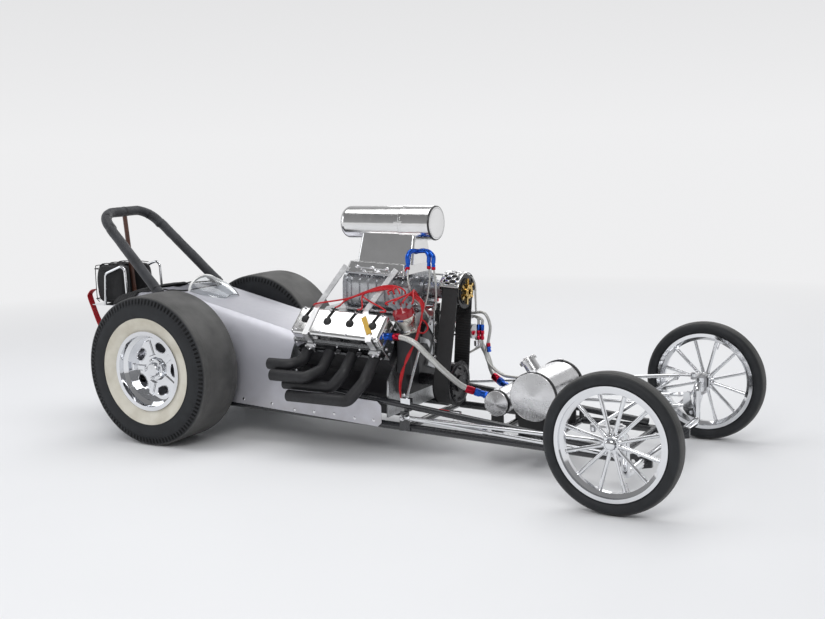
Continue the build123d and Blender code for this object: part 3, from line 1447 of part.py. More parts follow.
hat_base = BLOWER_TOP + GAP
hat_step = hat_base + HAT_STEP_H
hat_top = SCOOP_Z - CRANK_Z - SCOOP_R / 2
hat = loft([hat_level(hat_base, HAT_BASE, HAT_X), hat_level(hat_step, HAT_STEP, HAT_X)])
hat += loft([hat_level(hat_step, HAT_NECK, HAT_NECK_X), hat_level(hat_top, HAT_TOP, HAT_NECK_X)])
scoop_room = bar(on_car(SCOOP_REAR - 50, 0, SCOOP_Z), on_car(SCOOP_FRONT, 0, SCOOP_Z), SCOOP_R + GAP)
cap_room = bar(on_car(SCOOP_CAP - 1, 0, SCOOP_Z), on_car(SCOOP_FRONT, 0, SCOOP_Z), SCOOP_R + CAP_RISE + GAP)
keep("injector_body", in_car(hat) - scoop_room - cap_room)

scoop = bar(on_car(SCOOP_REAR, 0, SCOOP_Z), on_car(SCOOP_CAP - GAP, 0, SCOOP_Z), SCOOP_R)
keep("air_scoop", fillet(scoop.faces().sort_by(Axis.X)[0].edges(), SCOOP_BACK_EDGE))
cap = bar(on_car(SCOOP_CAP, 0, SCOOP_Z), on_car(SCOOP_FRONT, 0, SCOOP_Z), SCOOP_R + CAP_RISE)
keep("scoop_cap", fillet(cap.faces().sort_by(Axis.X)[-1].edges(), CAP_EDGE))


# Blower drive: two toothed pulleys, belt, idler and guard


def pulley(y, z, radius):
    wheel = engine_disc(BELT_REAR - GAP, BELT_W + 2 * GAP, y, z, radius - GAP)
    for start in (BELT_REAR - GAP - FLANGE_W, BELT_REAR + BELT_W + GAP):
        wheel += engine_disc(start, FLANGE_W, y, z, radius + BELT_T + FLANGE_RISE)
    return wheel


pulley_front = BELT_REAR + BELT_W + GAP + FLANGE_W
hub_start = pulley_front + GAP
starter_hub = engine_disc(hub_start, STARTER_DEPTH, DRIVE_Y, DRIVE_Z, STARTER_HUB_R)
starter_hub -= engine_disc(hub_start - 1, STARTER_DEPTH + 2, DRIVE_Y, DRIVE_Z, STARTER_R)
keep("starter_hub", in_car(starter_hub))
top_pulley = pulley(DRIVE_Y, DRIVE_Z, TOP_PULLEY_R)
nose_start = cover_start + FRONT_COVER_T + GAP
crank_nose = engine_disc(nose_start, BELT_REAR - nose_start, 0, 0, CRANK_SNOUT_R)
crank_pulley = pulley(0, 0, CRANK_PULLEY_R) + crank_nose
crank_pulley += engine_disc(pulley_front - 1, CRANK_HUB + 1, 0, 0, CRANK_HUB_R)
keep("belt_pulleys", in_car(together([top_pulley, crank_pulley])))


def belt_outline(grow):
    with BuildSketch() as hull:
        with BuildLine():
            CenterArc((DRIVE_Y, DRIVE_Z), TOP_PULLEY_R + grow, 0, 360)
            CenterArc((0, 0), CRANK_PULLEY_R + grow, 0, 360)
        make_hull()
    return hull.sketch


belt_place = Plane(origin=(BELT_REAR, 0, 0), x_dir=(0, 1, 0), z_dir=(1, 0, 0))
belt = extrude(belt_place * (belt_outline(BELT_T) - belt_outline(0)), amount=BELT_W)
keep("blower_belt", in_car(belt))

idler_start = cover_start + FRONT_COVER_T + GAP
idler_arm = [
    (IDLER_Y - 124, IDLER_Z - 175), (IDLER_Y - 44, IDLER_Z - 205), (IDLER_Y + 24, IDLER_Z - 12),
    (IDLER_Y, IDLER_Z + 26), (IDLER_Y - 28, IDLER_Z + 6),
]
idler = across_engine(idler_start, IDLER_ARM_T, idler_arm)
idler += engine_disc(BELT_REAR, BELT_W, IDLER_Y, IDLER_Z, IDLER_R)
idler += engine_disc(idler_start, BELT_REAR - idler_start + 1, IDLER_Y, IDLER_Z, IDLER_SHAFT_R)
keep("belt_idler", in_car(idler))


def belt_guard():
    x_low, x_high = GUARD_X
    with BuildPart() as guard:
        with BuildSketch(Plane(origin=(x_low, DRIVE_Y, DRIVE_Z), x_dir=(0, 1, 0), z_dir=(1, 0, 0))):
            Circle(GUARD_R + GUARD_T)
            with Locations((GUARD_R / 2 + GUARD_T / 2, -GUARD_DROP / 2)):
                Rectangle(GUARD_R + GUARD_T, GUARD_DROP)
            Circle(GUARD_R, mode=Mode.SUBTRACT)
            with Locations((GUARD_R / 2, -GUARD_DROP / 2)):
                Rectangle(GUARD_R, GUARD_DROP, mode=Mode.SUBTRACT)
            with Locations((-GUARD_R, -GUARD_R)):
                Rectangle(2 * GUARD_R, 2 * GUARD_R, mode=Mode.SUBTRACT)
        extrude(amount=x_high - x_low)
        with BuildSketch(Plane(origin=(x_low, DRIVE_Y, DRIVE_Z), x_dir=(0, 1, 0), z_dir=(1, 0, 0))):
            Circle(GUARD_R + GUARD_T)
            with Locations((0, -GUARD_R)):
                Rectangle(2 * GUARD_R + 8, 2 * GUARD_R - 30, mode=Mode.SUBTRACT)
            Circle(SNOUT_R + 9)
            Circle(SNOUT_R + GAP, mode=Mode.SUBTRACT)
        extrude(amount=GUARD_WEB)
    return guard.part


keep("belt_guard", in_car(belt_guard()))

lean = Vector(*MAG_LEAN)
mag_foot = Vector(MAG_X, MAG_Y, TOWER_Z[1])
mag = bar(tuple(mag_foot - lean * 30), tuple(mag_foot + lean * MAG_BODY_LEN), MAG_BODY_R)
cap_start = mag_foot + lean * MAG_BODY_LEN
mag += bar(tuple(cap_start), tuple(cap_start + lean * MAG_CAP_LEN), MAG_CAP_R)
mag_low = TOWER_Z[1] + GAP
below_tower = across_engine(0, 2 * MAG_X, [(2 * MAG_Y, 0), (0, 0), (0, mag_low), (2 * MAG_Y, mag_low)])
keep("magneto", in_car(mag - below_tower))


# Straps that hold the blower down, and the engine's front struts


def strap_run(start, end, face):
    """A flat strap between two points, lying on a face with this normal."""
    run = Vector(*end) - Vector(*start)
    middle = (Vector(*end) + Vector(*start)) * 0.5
    with BuildPart() as strap:
        with BuildSketch(Plane(origin=tuple(middle), x_dir=tuple(run), z_dir=face)):
            Rectangle(run.length + HOLD_T, HOLD_W)
        extrude(amount=HOLD_T / 2, both=True)
    return strap.part


def blower_strap(top_x, rail_x, clamp_x):
    turn = radians(BANK)
    lift = HOLD_T / 2 + GAP
    top = (top_x, HOLD_TOP_Y, HOLD_TOP_Z)
    inner = (rail_x, *bank_point(COVER_N + lift, -COVER_HALF - lift))
    outer = (clamp_x, *bank_point(COVER_N + lift, COVER_HALF + HEAD_HALF - COVER_HALF + lift))
    foot = (clamp_x, *bank_point(CLAMP_N, HEAD_HALF + lift))
    first = Vector(*inner) - Vector(*top)
    normal = first.cross(Vector(1, 0, 0))
    strap = strap_run(top, inner, tuple(normal))
    strap += strap_run(inner, outer, (0, -sin(turn), cos(turn)))
    strap += strap_run(outer, foot, (0, -cos(turn), -sin(turn)))
    y, z = bank_point(CLAMP_N, HEAD_HALF + GAP + CLAMP_SIZE[2] / 2)
    with BuildPart() as clamp:
        with BuildSketch(Plane(origin=(clamp_x, y, z), x_dir=(1, 0, 0), z_dir=(0, -cos(turn), -sin(turn)))):
            Rectangle(CLAMP_SIZE[0], CLAMP_SIZE[1])
        extrude(amount=CLAMP_SIZE[2] / 2, both=True)
    return strap + clamp.part


strap_set = together([blower_strap(*numbers) for numbers in HAT_STRAPS])
keep("blower_straps", both_sides(in_car(strap_set)))

foot_z = upper_z(ROD_REAR_X) + UPPER_R
strut = bar(on_car(ROD_REAR_X, -RAIL_Y, foot_z + CLEVIS / 2), on_car(*STRUT_TOP), STRUT_R)
strut += bar(on_car(*STRUT_TOP), on_car(*STRUT_LUG), STRUT_R)
strut += block_between(
    (ROD_REAR_X - CLEVIS, ROD_REAR_X + CLEVIS), (-RAIL_Y - CLEVIS / 2, -RAIL_Y + CLEVIS / 2),
    (foot_z - UPPER_R, foot_z + CLEVIS / 2 + STRUT_R),
)
keep("engine_struts", both_sides(strut - upper_room - in_car(tower(GAP))))


# Tanks on saddles over the front crossmembers


def spun_tank(x, z, radius, half):
    """A spun tank lying across the car, with shallow cones for ends."""
    with BuildPart() as tank:
        with BuildSketch(Plane(origin=on_car(x, 0, z), z_dir=(0, 1, 0))):
            Circle(radius)
        extrude(amount=half, both=True)
        for end in (1, -1):
            with BuildSketch(Plane(origin=on_car(x, end * half, z), z_dir=(0, end, 0))):
                Circle(radius - 2)
            with BuildSketch(Plane(origin=on_car(x, end * (half + TANK_CONE), z), z_dir=(0, end, 0))):
                Circle(radius / 12)
            loft()
    return tank.part


def tank_port(side, reach):
    """A point on the catch tank's hose port, out from the tank's middle line."""
    return tuple(Vector(*on_car(CATCH_X, side * PORT_Y, CATCH_Z)) + Vector(*PORT_WAY).normalized() * reach)


fuel_tank = spun_tank(TANK_X, TANK_Z, TANK_R, TANK_HALF)
neck_way = Vector(-sin(radians(NECK_LEAN)), 0, cos(radians(NECK_LEAN)))
tank_middle = Vector(*on_car(TANK_X, 0, TANK_Z))
neck_top = tuple(tank_middle + neck_way * NECK_END)
fuel_tank += bar(tuple(tank_middle), neck_top, NECK_R)
fuel_tank += bar(neck_top, tuple(tank_middle + neck_way * (NECK_END + FILLER_T)), FILLER_R)
port = bar(tank_port(-1, CATCH_R / 2), tank_port(-1, PORT_REACH), PORT_R)
catch_tank = spun_tank(CATCH_X, CATCH_Z, CATCH_R, CATCH_HALF) + port + mirrored(port)
keep("tanks", together([fuel_tank, catch_tank]))


def tank_mount(x, z, radius, y, spread):
    """A band round a tank and the plate under it that stands on the crossmembers."""
    ring = cross_bar(x, y, y + BAND_W, z, radius + GAP + BAND_T)
    plate = block_between((x - spread, x + spread), (y, y + BAND_W), (rail_z(x), z - radius / 2))
    tank_room = cross_bar(x, y - 1, y + BAND_W + 1, z, radius + GAP)
    return (ring + plate) - tank_room - cross_room


tank_mounts = [
    tank_mount(TANK_X, TANK_Z, TANK_R, TANK_HALF - BAND_IN - BAND_W, TANK_FOOT),
    tank_mount(CATCH_X, CATCH_Z, CATCH_R, CATCH_HALF - BAND_IN - BAND_W, CATCH_FOOT),
]
keep("tank_mounts", both_sides(together(tank_mounts)))


# Braided hoses from the valve covers to the small tank


def corner_radii(points):
    """Each corner's radius: 0.45 of its shorter run over the tangent of half its turn."""
    radii = []
    for before, corner, after in zip(points, points[1:], points[2:]):
        arrive = Vector(*corner) - Vector(*before)
        leave = Vector(*after) - Vector(*corner)
        half_turn = radians(arrive.get_angle(leave)) / 2
        radii.append(0.45 * min(arrive.length, leave.length) * cos(half_turn) / sin(half_turn))
    return radii


hose_points = [on_car(*point) for point in HOSE_POINTS]
hose_points += [tank_port(-1, PORT_RUN), tank_port(-1, PORT_REACH + GAP)]
hose_radii = corner_radii(hose_points)
hose = bent_tube(hose_points, hose_radii, HOSE_R)
keep("breather_hoses", both_sides(hose))
print("breather hose radii, mm:", [round(radius) for radius in hose_radii])

os.makedirs("parts", exist_ok=True)
for name, piece in PIECES.items():
    export_step(piece, f"parts/{name}.step")
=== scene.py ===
"""Looks of the front-engine race car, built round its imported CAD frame.

Points are given as car(x, y, z): millimetres ahead of the rear axle, to the car's left
and above the floor. Engine points, eng(x, y, z), use the engine's own raked frame.
Turned forms are (radius, height) pairs in millimetres about a place's Z. A side is 1 on
the car's left and -1 on its right.
"""
import math
import random

import bmesh
import bpy
from mathutils import Matrix, Vector, noise

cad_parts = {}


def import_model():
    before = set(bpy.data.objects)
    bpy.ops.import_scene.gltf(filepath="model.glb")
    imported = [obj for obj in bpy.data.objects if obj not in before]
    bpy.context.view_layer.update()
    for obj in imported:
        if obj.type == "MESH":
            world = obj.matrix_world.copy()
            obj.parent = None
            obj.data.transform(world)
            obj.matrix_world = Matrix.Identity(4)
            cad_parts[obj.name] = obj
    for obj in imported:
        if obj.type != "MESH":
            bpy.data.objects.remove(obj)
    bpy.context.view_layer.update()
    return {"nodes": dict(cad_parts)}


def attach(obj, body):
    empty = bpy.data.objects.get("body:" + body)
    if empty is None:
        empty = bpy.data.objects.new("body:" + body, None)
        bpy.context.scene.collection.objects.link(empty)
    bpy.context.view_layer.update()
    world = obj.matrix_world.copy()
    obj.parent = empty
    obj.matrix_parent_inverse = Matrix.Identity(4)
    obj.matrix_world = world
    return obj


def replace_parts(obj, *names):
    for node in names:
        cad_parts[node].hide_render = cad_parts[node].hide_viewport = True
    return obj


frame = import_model()
NODES = frame["nodes"]
random.seed(7)

MM = 0.001
DIAG = math.sqrt(0.5)

# Places and sizes that several pieces share
REAR_AXLE_X = -0.9975
WHEELBASE = 2530
FRONT_R, FRONT_Y = 297, 665
REAR_R, REAR_Y = 389, 473.5
ENGINE_X, ENGINE_Z, ENGINE_RAKE = 975, 350, 2.3
CYLINDERS = (195, 65, -65, -195)
BLOWER_FRONT, BLOWER_REAR = 300, -82
DRIVE_Y, DRIVE_Z = 55, 452
TOP_PULLEY_R, CRANK_PULLEY_R = 72, 100
TANK_X, TANK_Z = 1962, 334
SMALL_TANK_X, SMALL_TANK_Z = 1762, 282
FLANK_Y = 298
WHITE = 0.86


def mm(x, y, z):
    return Vector((x, y, z)) * MM


def car(x, y, z):
    return Vector((x * MM + REAR_AXLE_X, y * MM, z * MM))


def line(*points):
    return [car(*point) for point in points]


ENGINE = Matrix.Translation(car(ENGINE_X, 0, ENGINE_Z)) @ Matrix.Rotation(math.radians(ENGINE_RAKE), 4, "Y")


def eng(x, y, z):
    return ENGINE @ mm(x, y, z)


def bank(x, n, v, side=-1):
    """A point n out along a cylinder bank and v across it, outwards."""
    return eng(x, side * (n + v) * DIAG, (n - v) * DIAG)


def direction(x, y, z):
    """A direction of the engine's frame, in the car."""
    return (ENGINE.to_3x3() @ Vector((x, y, z))).normalized()


AHEAD, ASTERN, UP = direction(1, 0, 0), direction(-1, 0, 0), direction(0, 0, 1)


def bank_out(side=-1):
    return direction(0, side * DIAG, DIAG)


def bank_across(side=-1):
    return direction(0, side * DIAG, -DIAG)


def shift(x, y, z):
    return Matrix.Translation(mm(x, y, z))


def at(point):
    return Matrix.Translation(point)


def facing(point, axis, spin=0.0):
    """A place at a point with its Z along an axis."""
    turn = Vector(axis).to_track_quat("Z", "Y").to_matrix().to_4x4()
    return at(point) @ turn @ Matrix.Rotation(spin, 4, "Z")


def turned(place, degrees):
    return place @ Matrix.Rotation(math.radians(degrees), 4, "Z")


def turns(place, count, start=0.0):
    """A place turned about its own Z, at even steps round the circle."""
    return [turned(place, start + 360 * number / count) for number in range(count)]


def wheel_matrix(x, y, z):
    """A wheel's own frame, with +Z outboard."""
    return at(car(x, y, z)) @ Matrix.Rotation(math.radians(-90 if y > 0 else 90), 4, "X")


# Materials


class Nodes:
    """Short ways to build a node tree."""

    def __init__(self, tree):
        self.tree = tree

    def node(self, kind, **inputs):
        made = self.tree.nodes.new("ShaderNode" + kind)
        for name, value in inputs.items():
            self.put(made.inputs[name.replace("_", " ")], value)
        return made

    def put(self, socket, value):
        if isinstance(value, bpy.types.NodeSocket):
            self.tree.links.new(value, socket)
        else:
            socket.default_value = value

    def math(self, operation, first, second=0.0):
        made = self.node("Math")
        made.operation = operation
        self.put(made.inputs[0], first)
        self.put(made.inputs[1], second)
        return made.outputs[0]

    def ramp(self, value, stops):
        made = self.node("ValToRGB", Fac=value)
        elements = made.color_ramp.elements
        while len(elements) < len(stops):
            elements.new(0.5)
        for element, (spot, color) in zip(elements, stops):
            element.position = spot
            element.color = (*color, 1)
        return made.outputs[0]

    def spread(self, value, low, high, start=0.3, end=0.7):
        return self.node("MapRange", Value=value, From_Min=start, From_Max=end, To_Min=low, To_Max=high).outputs[0]

    def mix(self, share, first, second):
        made = self.node("Mix")
        made.data_type = "RGBA"
        for index, value in ((0, share), (6, first), (7, second)):
            self.put(made.inputs[index], (*value, 1) if isinstance(value, tuple) else value)
        return made.outputs[2]

    def blend(self, share, first, second):
        made = self.node("MixShader")
        for socket, value in zip(made.inputs, (share, first, second)):
            self.put(socket, value)
        return made.outputs[0]

    def seen_by_camera(self):
        """1 for rays from the camera, off metal and through glass, which see the pale studio."""
        rays = self.node("LightPath").outputs
        direct = self.math("MAXIMUM", rays["Is Camera Ray"], rays["Is Glossy Ray"])
        return self.math("MAXIMUM", direct, rays["Is Transmission Ray"])


class Look(Nodes):
    """A node material under construction."""

    def __init__(self, name, roughness=0.5, metallic=0.0, **sockets):
        self.material = bpy.data.materials.new(name)
        self.material.use_nodes = True
        super().__init__(self.material.node_tree)
        self.shader = self.tree.nodes["Principled BSDF"]
        for socket, value in {"Roughness": roughness, "Metallic": metallic, **sockets}.items():
            self.put(self.shader.inputs[socket.replace("_", " ")], value)
        self.place = self.node("TexCoord").outputs["Object"]

    def noise(self, scale, detail=4.0, stretch=None):
        place = self.place
        if stretch:
            place = self.node("Mapping", Vector=self.place, Scale=stretch).outputs[0]
        return self.node("TexNoise", Vector=place, Scale=scale, Detail=detail).outputs[0]

    def bump(self, height, strength, distance, rounded=0.0):
        made = self.node("Bump", Height=height, Strength=strength, Distance=distance)
        if rounded:
            edge = self.node("Bevel", Radius=rounded)
            edge.samples = 4
            self.put(made.inputs["Normal"], edge.outputs[0])
        self.put(self.shader.inputs["Normal"], made.outputs[0])

    def color(self, value):
        self.put(self.shader.inputs["Base Color"], value)

    def cloud(self, value, low, high, start=0.3, end=0.7):
        """A colour that drifts between two with a value."""
        return self.ramp(value, [(start, low), (end, high)])

    def rough(self, value, low, high):
        self.put(self.shader.inputs["Roughness"], self.spread(value, low, high))

    def axis(self, index):
        return self.node("SeparateXYZ", Vector=self.place).outputs[index]

    def length(self, first, second):
        squares = self.math("ADD", self.math("MULTIPLY", first, first), self.math("MULTIPLY", second, second))
        return self.math("SQRT", squares)

    def radial(self, x, z):
        """Distance from a line across the car, in metres."""
        return self.length(self.math("SUBTRACT", self.axis(0), x), self.math("SUBTRACT", self.axis(2), z))


def shade(color, factor):
    return tuple(min(channel * factor, 1) for channel in color)


def metal(name, color, roughness, *, patches=6.0, grain=260.0, stretch=None, strength=0.06, depth=0.25,
          rounded=0.0):
    """Bare or plated metal: cloudy polish, fine grain and a little dust in its roughness."""
    look = Look(name, roughness, 1.0)
    tones = [(0.3, shade(color, 1 - depth)), (0.55, color), (0.8, shade(color, 1.06))]
    look.color(look.ramp(look.noise(patches, 5.0), tones))
    look.rough(look.noise(patches * 5, 6.0, stretch), roughness * 0.7, roughness * 1.45)
    look.bump(look.noise(grain, 2.0, stretch), strength, 0.0006, rounded)
    return look


def paint(name, color, roughness, *, patches=3.0, grain=500.0, strength=0.05, depth=0.15, metallic=0.0,
          rounded=0.0, **sockets):
    """Paint, plastic or rubber with slight colour drift, dust and fine skin."""
    look = Look(name, roughness, metallic, **sockets)
    tones = [(0.3, shade(color, 1 - depth)), (0.5, color), (0.75, shade(color, 1 + depth))]
    look.color(look.ramp(look.noise(patches, 6.0), tones))
    look.rough(look.noise(patches * 9, 5.0), roughness * 0.8, roughness * 1.25)
    look.bump(look.noise(grain, 3.0), strength, 0.0005, rounded)
    return look


chrome = metal("chrome", (0.78, 0.79, 0.81), 0.06, strength=0.015, depth=0.1)
polished = metal("polished_aluminium", (0.8, 0.8, 0.8), 0.14, strength=0.03, depth=0.08, rounded=0.002)
bright_covers = metal("bright_covers", (0.86, 0.86, 0.86), 0.1, strength=0.02, depth=0.06, rounded=0.003)
cast = metal("cast_aluminium", (0.52, 0.53, 0.54), 0.36, grain=520, strength=0.35, depth=0.3, rounded=0.002)
blower_metal = metal("blower_aluminium", (0.5, 0.51, 0.53), 0.27, grain=320, strength=0.12, rounded=0.002)
sheet_metal = metal("sheet_aluminium", (0.62, 0.63, 0.64), 0.3, stretch=(1, 30, 1), grain=90, strength=0.08,
                    rounded=0.001)
steel = metal("satin_steel", (0.45, 0.45, 0.46), 0.32, strength=0.1, rounded=0.001)
strap_steel = metal("strap_steel", (0.92, 0.92, 0.93), 0.42, stretch=(1, 1, 8), strength=0.03, depth=0.05)
# A darker copy of the covers' polish: painted reflection of dark ground, laid on the covers' sides.
cover_side_reflection = metal("painted_dark_reflection", (0.3, 0.3, 0.31), 0.06, strength=0.01, depth=0.1)
head_metal = metal("head_polish", (0.46, 0.47, 0.48), 0.2, strength=0.04, rounded=0.002)
brass = metal("brass", (0.72, 0.52, 0.2), 0.2, strength=0.05)
nut_metal = metal("nut_chrome", (0.78, 0.78, 0.8), 0.15, strength=0.03, depth=0.1)
blue_fitting = metal("blue_anodised", (0.03, 0.13, 0.62), 0.24, strength=0.05, depth=0.3)
red_fitting = metal("red_anodised", (0.55, 0.02, 0.05), 0.24, strength=0.05, depth=0.3)
cap_cream = metal("magneto_cup", (0.72, 0.7, 0.64), 0.3, strength=0.1)

frame_paint = paint("frame_paint", (0.018, 0.019, 0.022), 0.25, Coat_Weight=0.6, Coat_Roughness=0.12)
axle_paint = paint("axle_paint", (0.03, 0.03, 0.032), 0.5, strength=0.3)
header_paint = paint("header_paint", (0.014, 0.014, 0.016), 0.5, strength=0.3, depth=0.3, patches=12)
engine_paint = paint("engine_paint", (0.022, 0.022, 0.025), 0.38, strength=0.35, grain=350, rounded=0.002)
brace_paint = paint("brace_paint", (0.09, 0.035, 0.022), 0.35, depth=0.3, patches=9, Coat_Weight=0.3)
white_trim = paint("white_trim", (0.72, 0.72, 0.7), 0.3, Coat_Weight=0.4)
red_cap = paint("magneto_red", (0.3, 0.004, 0.012), 0.22, Coat_Weight=0.5)
band_paint = paint("band_black", (0.012, 0.012, 0.013), 0.45)
pulley_black = paint("pulley_black", (0.012, 0.012, 0.014), 0.26, metallic=0.3)
black_plastic = paint("black_plastic", (0.015, 0.015, 0.016), 0.3)
black_rubber = paint("black_rubber", (0.014, 0.014, 0.015), 0.62, strength=0.25)
# Near-black rubber: painted shade for the gaps between the rear tyres' shoulder ribs.
painted_gap_shade = paint("painted_gap_shade", (0.0025, 0.0025, 0.003), 0.9)
belt_black = paint("belt_black", (0.018, 0.018, 0.019), 0.55, strength=0.4, grain=800)
boot_rubber = paint("grey_boots", (0.26, 0.28, 0.3), 0.45)
wire_red = paint("red_wire", (0.46, 0.004, 0.01), 0.35)
wire_black = paint("black_wire", (0.012, 0.012, 0.013), 0.4)
yellow_patch = paint("yellow_patch", (0.55, 0.33, 0.03), 0.5, grain=900, strength=0.3)
grip_leather = paint("grip_leather", (0.02, 0.019, 0.018), 0.55, grain=700, strength=0.5)
red_webbing = paint("red_webbing", (0.36, 0.004, 0.01), 0.7, grain=900, strength=0.4)


def body_paint():
    """Satin silver with fine metal flake, darker and browner in patches towards the bottom."""
    look = Look("body_silver", 0.34, 0.55, Coat_Weight=0.35, Coat_Roughness=0.18)
    base = look.cloud(look.noise(2.2, 5.0), (0.5, 0.5, 0.55), (0.58, 0.58, 0.63))
    flake = look.spread(look.noise(2600, 1.0), 0.0, 0.22, 0.45, 0.75)
    glint = look.mix(flake, base, (0.85, 0.85, 0.88))
    # Darker, browner patches below 0.36 m up, strongest at 0.15 m
    height = look.spread(look.axis(2), 1.0, 0.0, 0.15, 0.36)
    dust = look.math("MULTIPLY", height, look.spread(look.noise(14, 6.0), 0.1, 0.55))
    look.color(look.mix(dust, glint, (0.36, 0.34, 0.33)))
    look.rough(look.noise(30, 5.0), 0.28, 0.42)
    look.bump(look.noise(60, 4.0), 0.03, 0.002, 0.0015)
    return look


def tyre_rubber(name, axle_x, radius, white, track):
    """Tyre rubber: a dusty tread, a clean dark wall and, on some, a cream band outside."""
    look = Look(name, 0.62)
    reach = look.radial(axle_x, radius)
    wall = look.cloud(look.noise(22, 6.0), (0.006, 0.007, 0.009), (0.012, 0.014, 0.017))
    tread = look.cloud(look.noise(9, 7.0), (0.055, 0.055, 0.053), (0.105, 0.103, 0.1))
    color = look.mix(look.spread(reach, 0.0, 1.0, radius - 0.012, radius - 0.003), wall, tread)
    if white:
        inner, outer = look.math("GREATER_THAN", reach, white[0]), look.math("LESS_THAN", reach, white[1])
        outside = look.math("GREATER_THAN", look.math("ABSOLUTE", look.axis(1)), track)
        band = look.math("MULTIPLY", look.math("MULTIPLY", inner, outer), outside)
        cream = look.cloud(look.noise(11, 6.0), (0.5, 0.46, 0.37), (0.68, 0.65, 0.56), 0.25, 0.65)
        color = look.mix(band, color, cream)
    look.color(color)
    rings = look.math("MULTIPLY", look.math("SINE", look.math("MULTIPLY", reach, 900.0)), 0.06)
    look.bump(look.math("ADD", look.noise(340, 3.0), rings), 0.3, 0.0008)
    return look


def braid(name, color):
    """Woven steel braid: fine crossed strands."""
    look = Look(name, 0.38, 0.75)
    weave = look.node("TexVoronoi", Vector=look.place, Scale=520.0).outputs[0]
    look.color(look.ramp(weave, [(0.0, shade(color, 1.1)), (0.5, color), (1.0, shade(color, 0.45))]))
    look.rough(look.noise(300, 2.0, (1, 1, 1)), 0.28, 0.5)
    look.bump(weave, 0.5, 0.0006)
    return look


def foam_skin():
    """Padding wrapped in black tape, slightly lumpy and dusty in patches."""
    look = Look("hoop_foam", 0.6, 0.0, Sheen_Weight=0.15)
    look.color(look.cloud(look.noise(14, 6.0), (0.013, 0.014, 0.017), (0.03, 0.032, 0.038)))
    look.bump(look.math("ADD", look.noise(60, 5.0), look.noise(420, 2.0)), 0.35, 0.0012)
    return look


def spun(name, x, z):
    """Spun aluminium: fine rings about a line across the car."""
    look = Look(name, 0.24, 1.0)
    rings = look.math("SINE", look.math("MULTIPLY", look.radial(x, z), 2600.0))
    look.color(look.cloud(look.noise(5, 4.0), (0.62, 0.62, 0.63), (0.78, 0.78, 0.79)))
    look.rough(look.noise(24, 5.0), 0.16, 0.32)
    look.bump(look.math("ADD", rings, look.noise(200, 2.0)), 0.12, 0.0004)
    return look


def clear(name):
    """Clear sheet with faint smears."""
    look = Look(name, 0.03, 0.0, Transmission_Weight=1.0, IOR=1.45)
    look.color(look.cloud(look.noise(6, 3.0), (0.9, 0.94, 0.96), (0.97, 0.98, 0.99)))
    look.rough(look.noise(40, 5.0), 0.015, 0.06)
    look.bump(look.noise(9, 3.0), 0.02, 0.001)
    return look


def woven(name, color, fuzz=0.35):
    """Heavy woven cloth with a fuzz of loose fibres."""
    look = Look(name, 0.85, 0.0, Sheen_Weight=fuzz, Sheen_Roughness=0.6)
    weave = look.math("ADD", look.noise(900, 2.0, (1, 1, 3)), look.noise(900, 2.0, (3, 1, 1)))
    look.color(look.cloud(look.noise(18, 6.0), shade(color, 0.7), shade(color, 1.3)))
    look.bump(weave, 0.5, 0.0007)
    return look


body_silver = body_paint()
rear_rubber = tyre_rubber("rear_rubber", REAR_AXLE_X, REAR_R * MM, (0.2045, 0.277), REAR_Y * MM)
front_rubber = tyre_rubber("front_rubber", WHEELBASE * MM + REAR_AXLE_X, FRONT_R * MM, None, FRONT_Y * MM)
hose_braid = braid("hose_braid", (0.6, 0.6, 0.58))
foam = foam_skin()
fuel_spun = spun("fuel_tank_spun", TANK_X * MM + REAR_AXLE_X, TANK_Z * MM)
screen_clear = clear("clear_screen")
pack_cloth = woven("pack_cloth", (0.006, 0.006, 0.007), fuzz=0.08)
seat_cloth = woven("seat_cloth", (0.03, 0.029, 0.028))

# The CAD nodes of each look, without the side in their names
CAD_LOOKS = (
    (chrome, "front_rim rear_rim parachute_frame front_axle radius_rod tie_rod drag_link engine_struts"),
    (front_rubber, "front_tyre"), (rear_rubber, "rear_tyre"), (axle_paint, "rear_axle"),
    (frame_paint, "frame crossmembers"), (sheet_metal, "floor_pan firewall seat motor_plates"),
    (foam, "roll_hoop"), (brace_paint, "roll_brace"), (body_silver, "side_panel deck_panels"),
    (screen_clear, "windscreen"), (white_trim, "screen_trim"), (pack_cloth, "parachute_pack"),
    (steel, "knuckle pitman_arm column_support"), (grip_leather, "steering_wheel"),
    (cast, "steering_box clutch_can intake_manifold belt_idler"), (head_metal, "cylinder_heads"),
    (engine_paint, "engine_block front_cover"), (bright_covers, "valve_covers"), (brass, "starter_hub"),
    (header_paint, "headers"), (blower_metal, "blower_case"), (belt_black, "blower_belt"),
    (polished, "injector_body air_scoop scoop_cap belt_guard"), (pulley_black, "belt_pulleys"),
    (cap_cream, "magneto"), (strap_steel, "blower_straps"), (fuel_spun, "tanks"),
    (band_paint, "tank_mounts"), (hose_braid, "breather_hoses"),
)
LOOK_OF = {name: look for look, names in CAD_LOOKS for name in names.split()}
for name, node in NODES.items():
    node.data.materials.clear()
    node.data.materials.append(LOOK_OF[name.removesuffix("_left").removesuffix("_right")].material)


# Shapes


def smooth_line(points, smooth):
    """Points along a rounded line through the given ones."""
    points = [Vector(p) for p in points]
    if smooth < 2 or len(points) < 3:
        return points
    ends = [points[0] * 2 - points[1], *points, points[-1] * 2 - points[-2]]
    made = []
    for a, b, c, d in zip(ends, ends[1:], ends[2:], ends[3:]):
        for step in range(smooth):
            t = step / smooth
            made.append(0.5 * (2 * b + (c - a) * t + (2 * a - 5 * b + 4 * c - d) * t * t
                               + (3 * b - a - 3 * c + d) * t ** 3))
    return made + [points[-1]]


def frames(route):
    """Each point of a route, its direction and two normals that don't twist."""
    normal = (route[1] - route[0]).orthogonal().normalized()
    for i, spot in enumerate(route):
        ahead = (route[min(i + 1, len(route) - 1)] - route[max(i - 1, 0)]).normalized()
        normal = (normal - ahead * normal.dot(ahead)).normalized()
        yield spot, ahead, normal, ahead.cross(normal)


def circle(steps):
    return [2 * math.pi * step / steps for step in range(steps)]


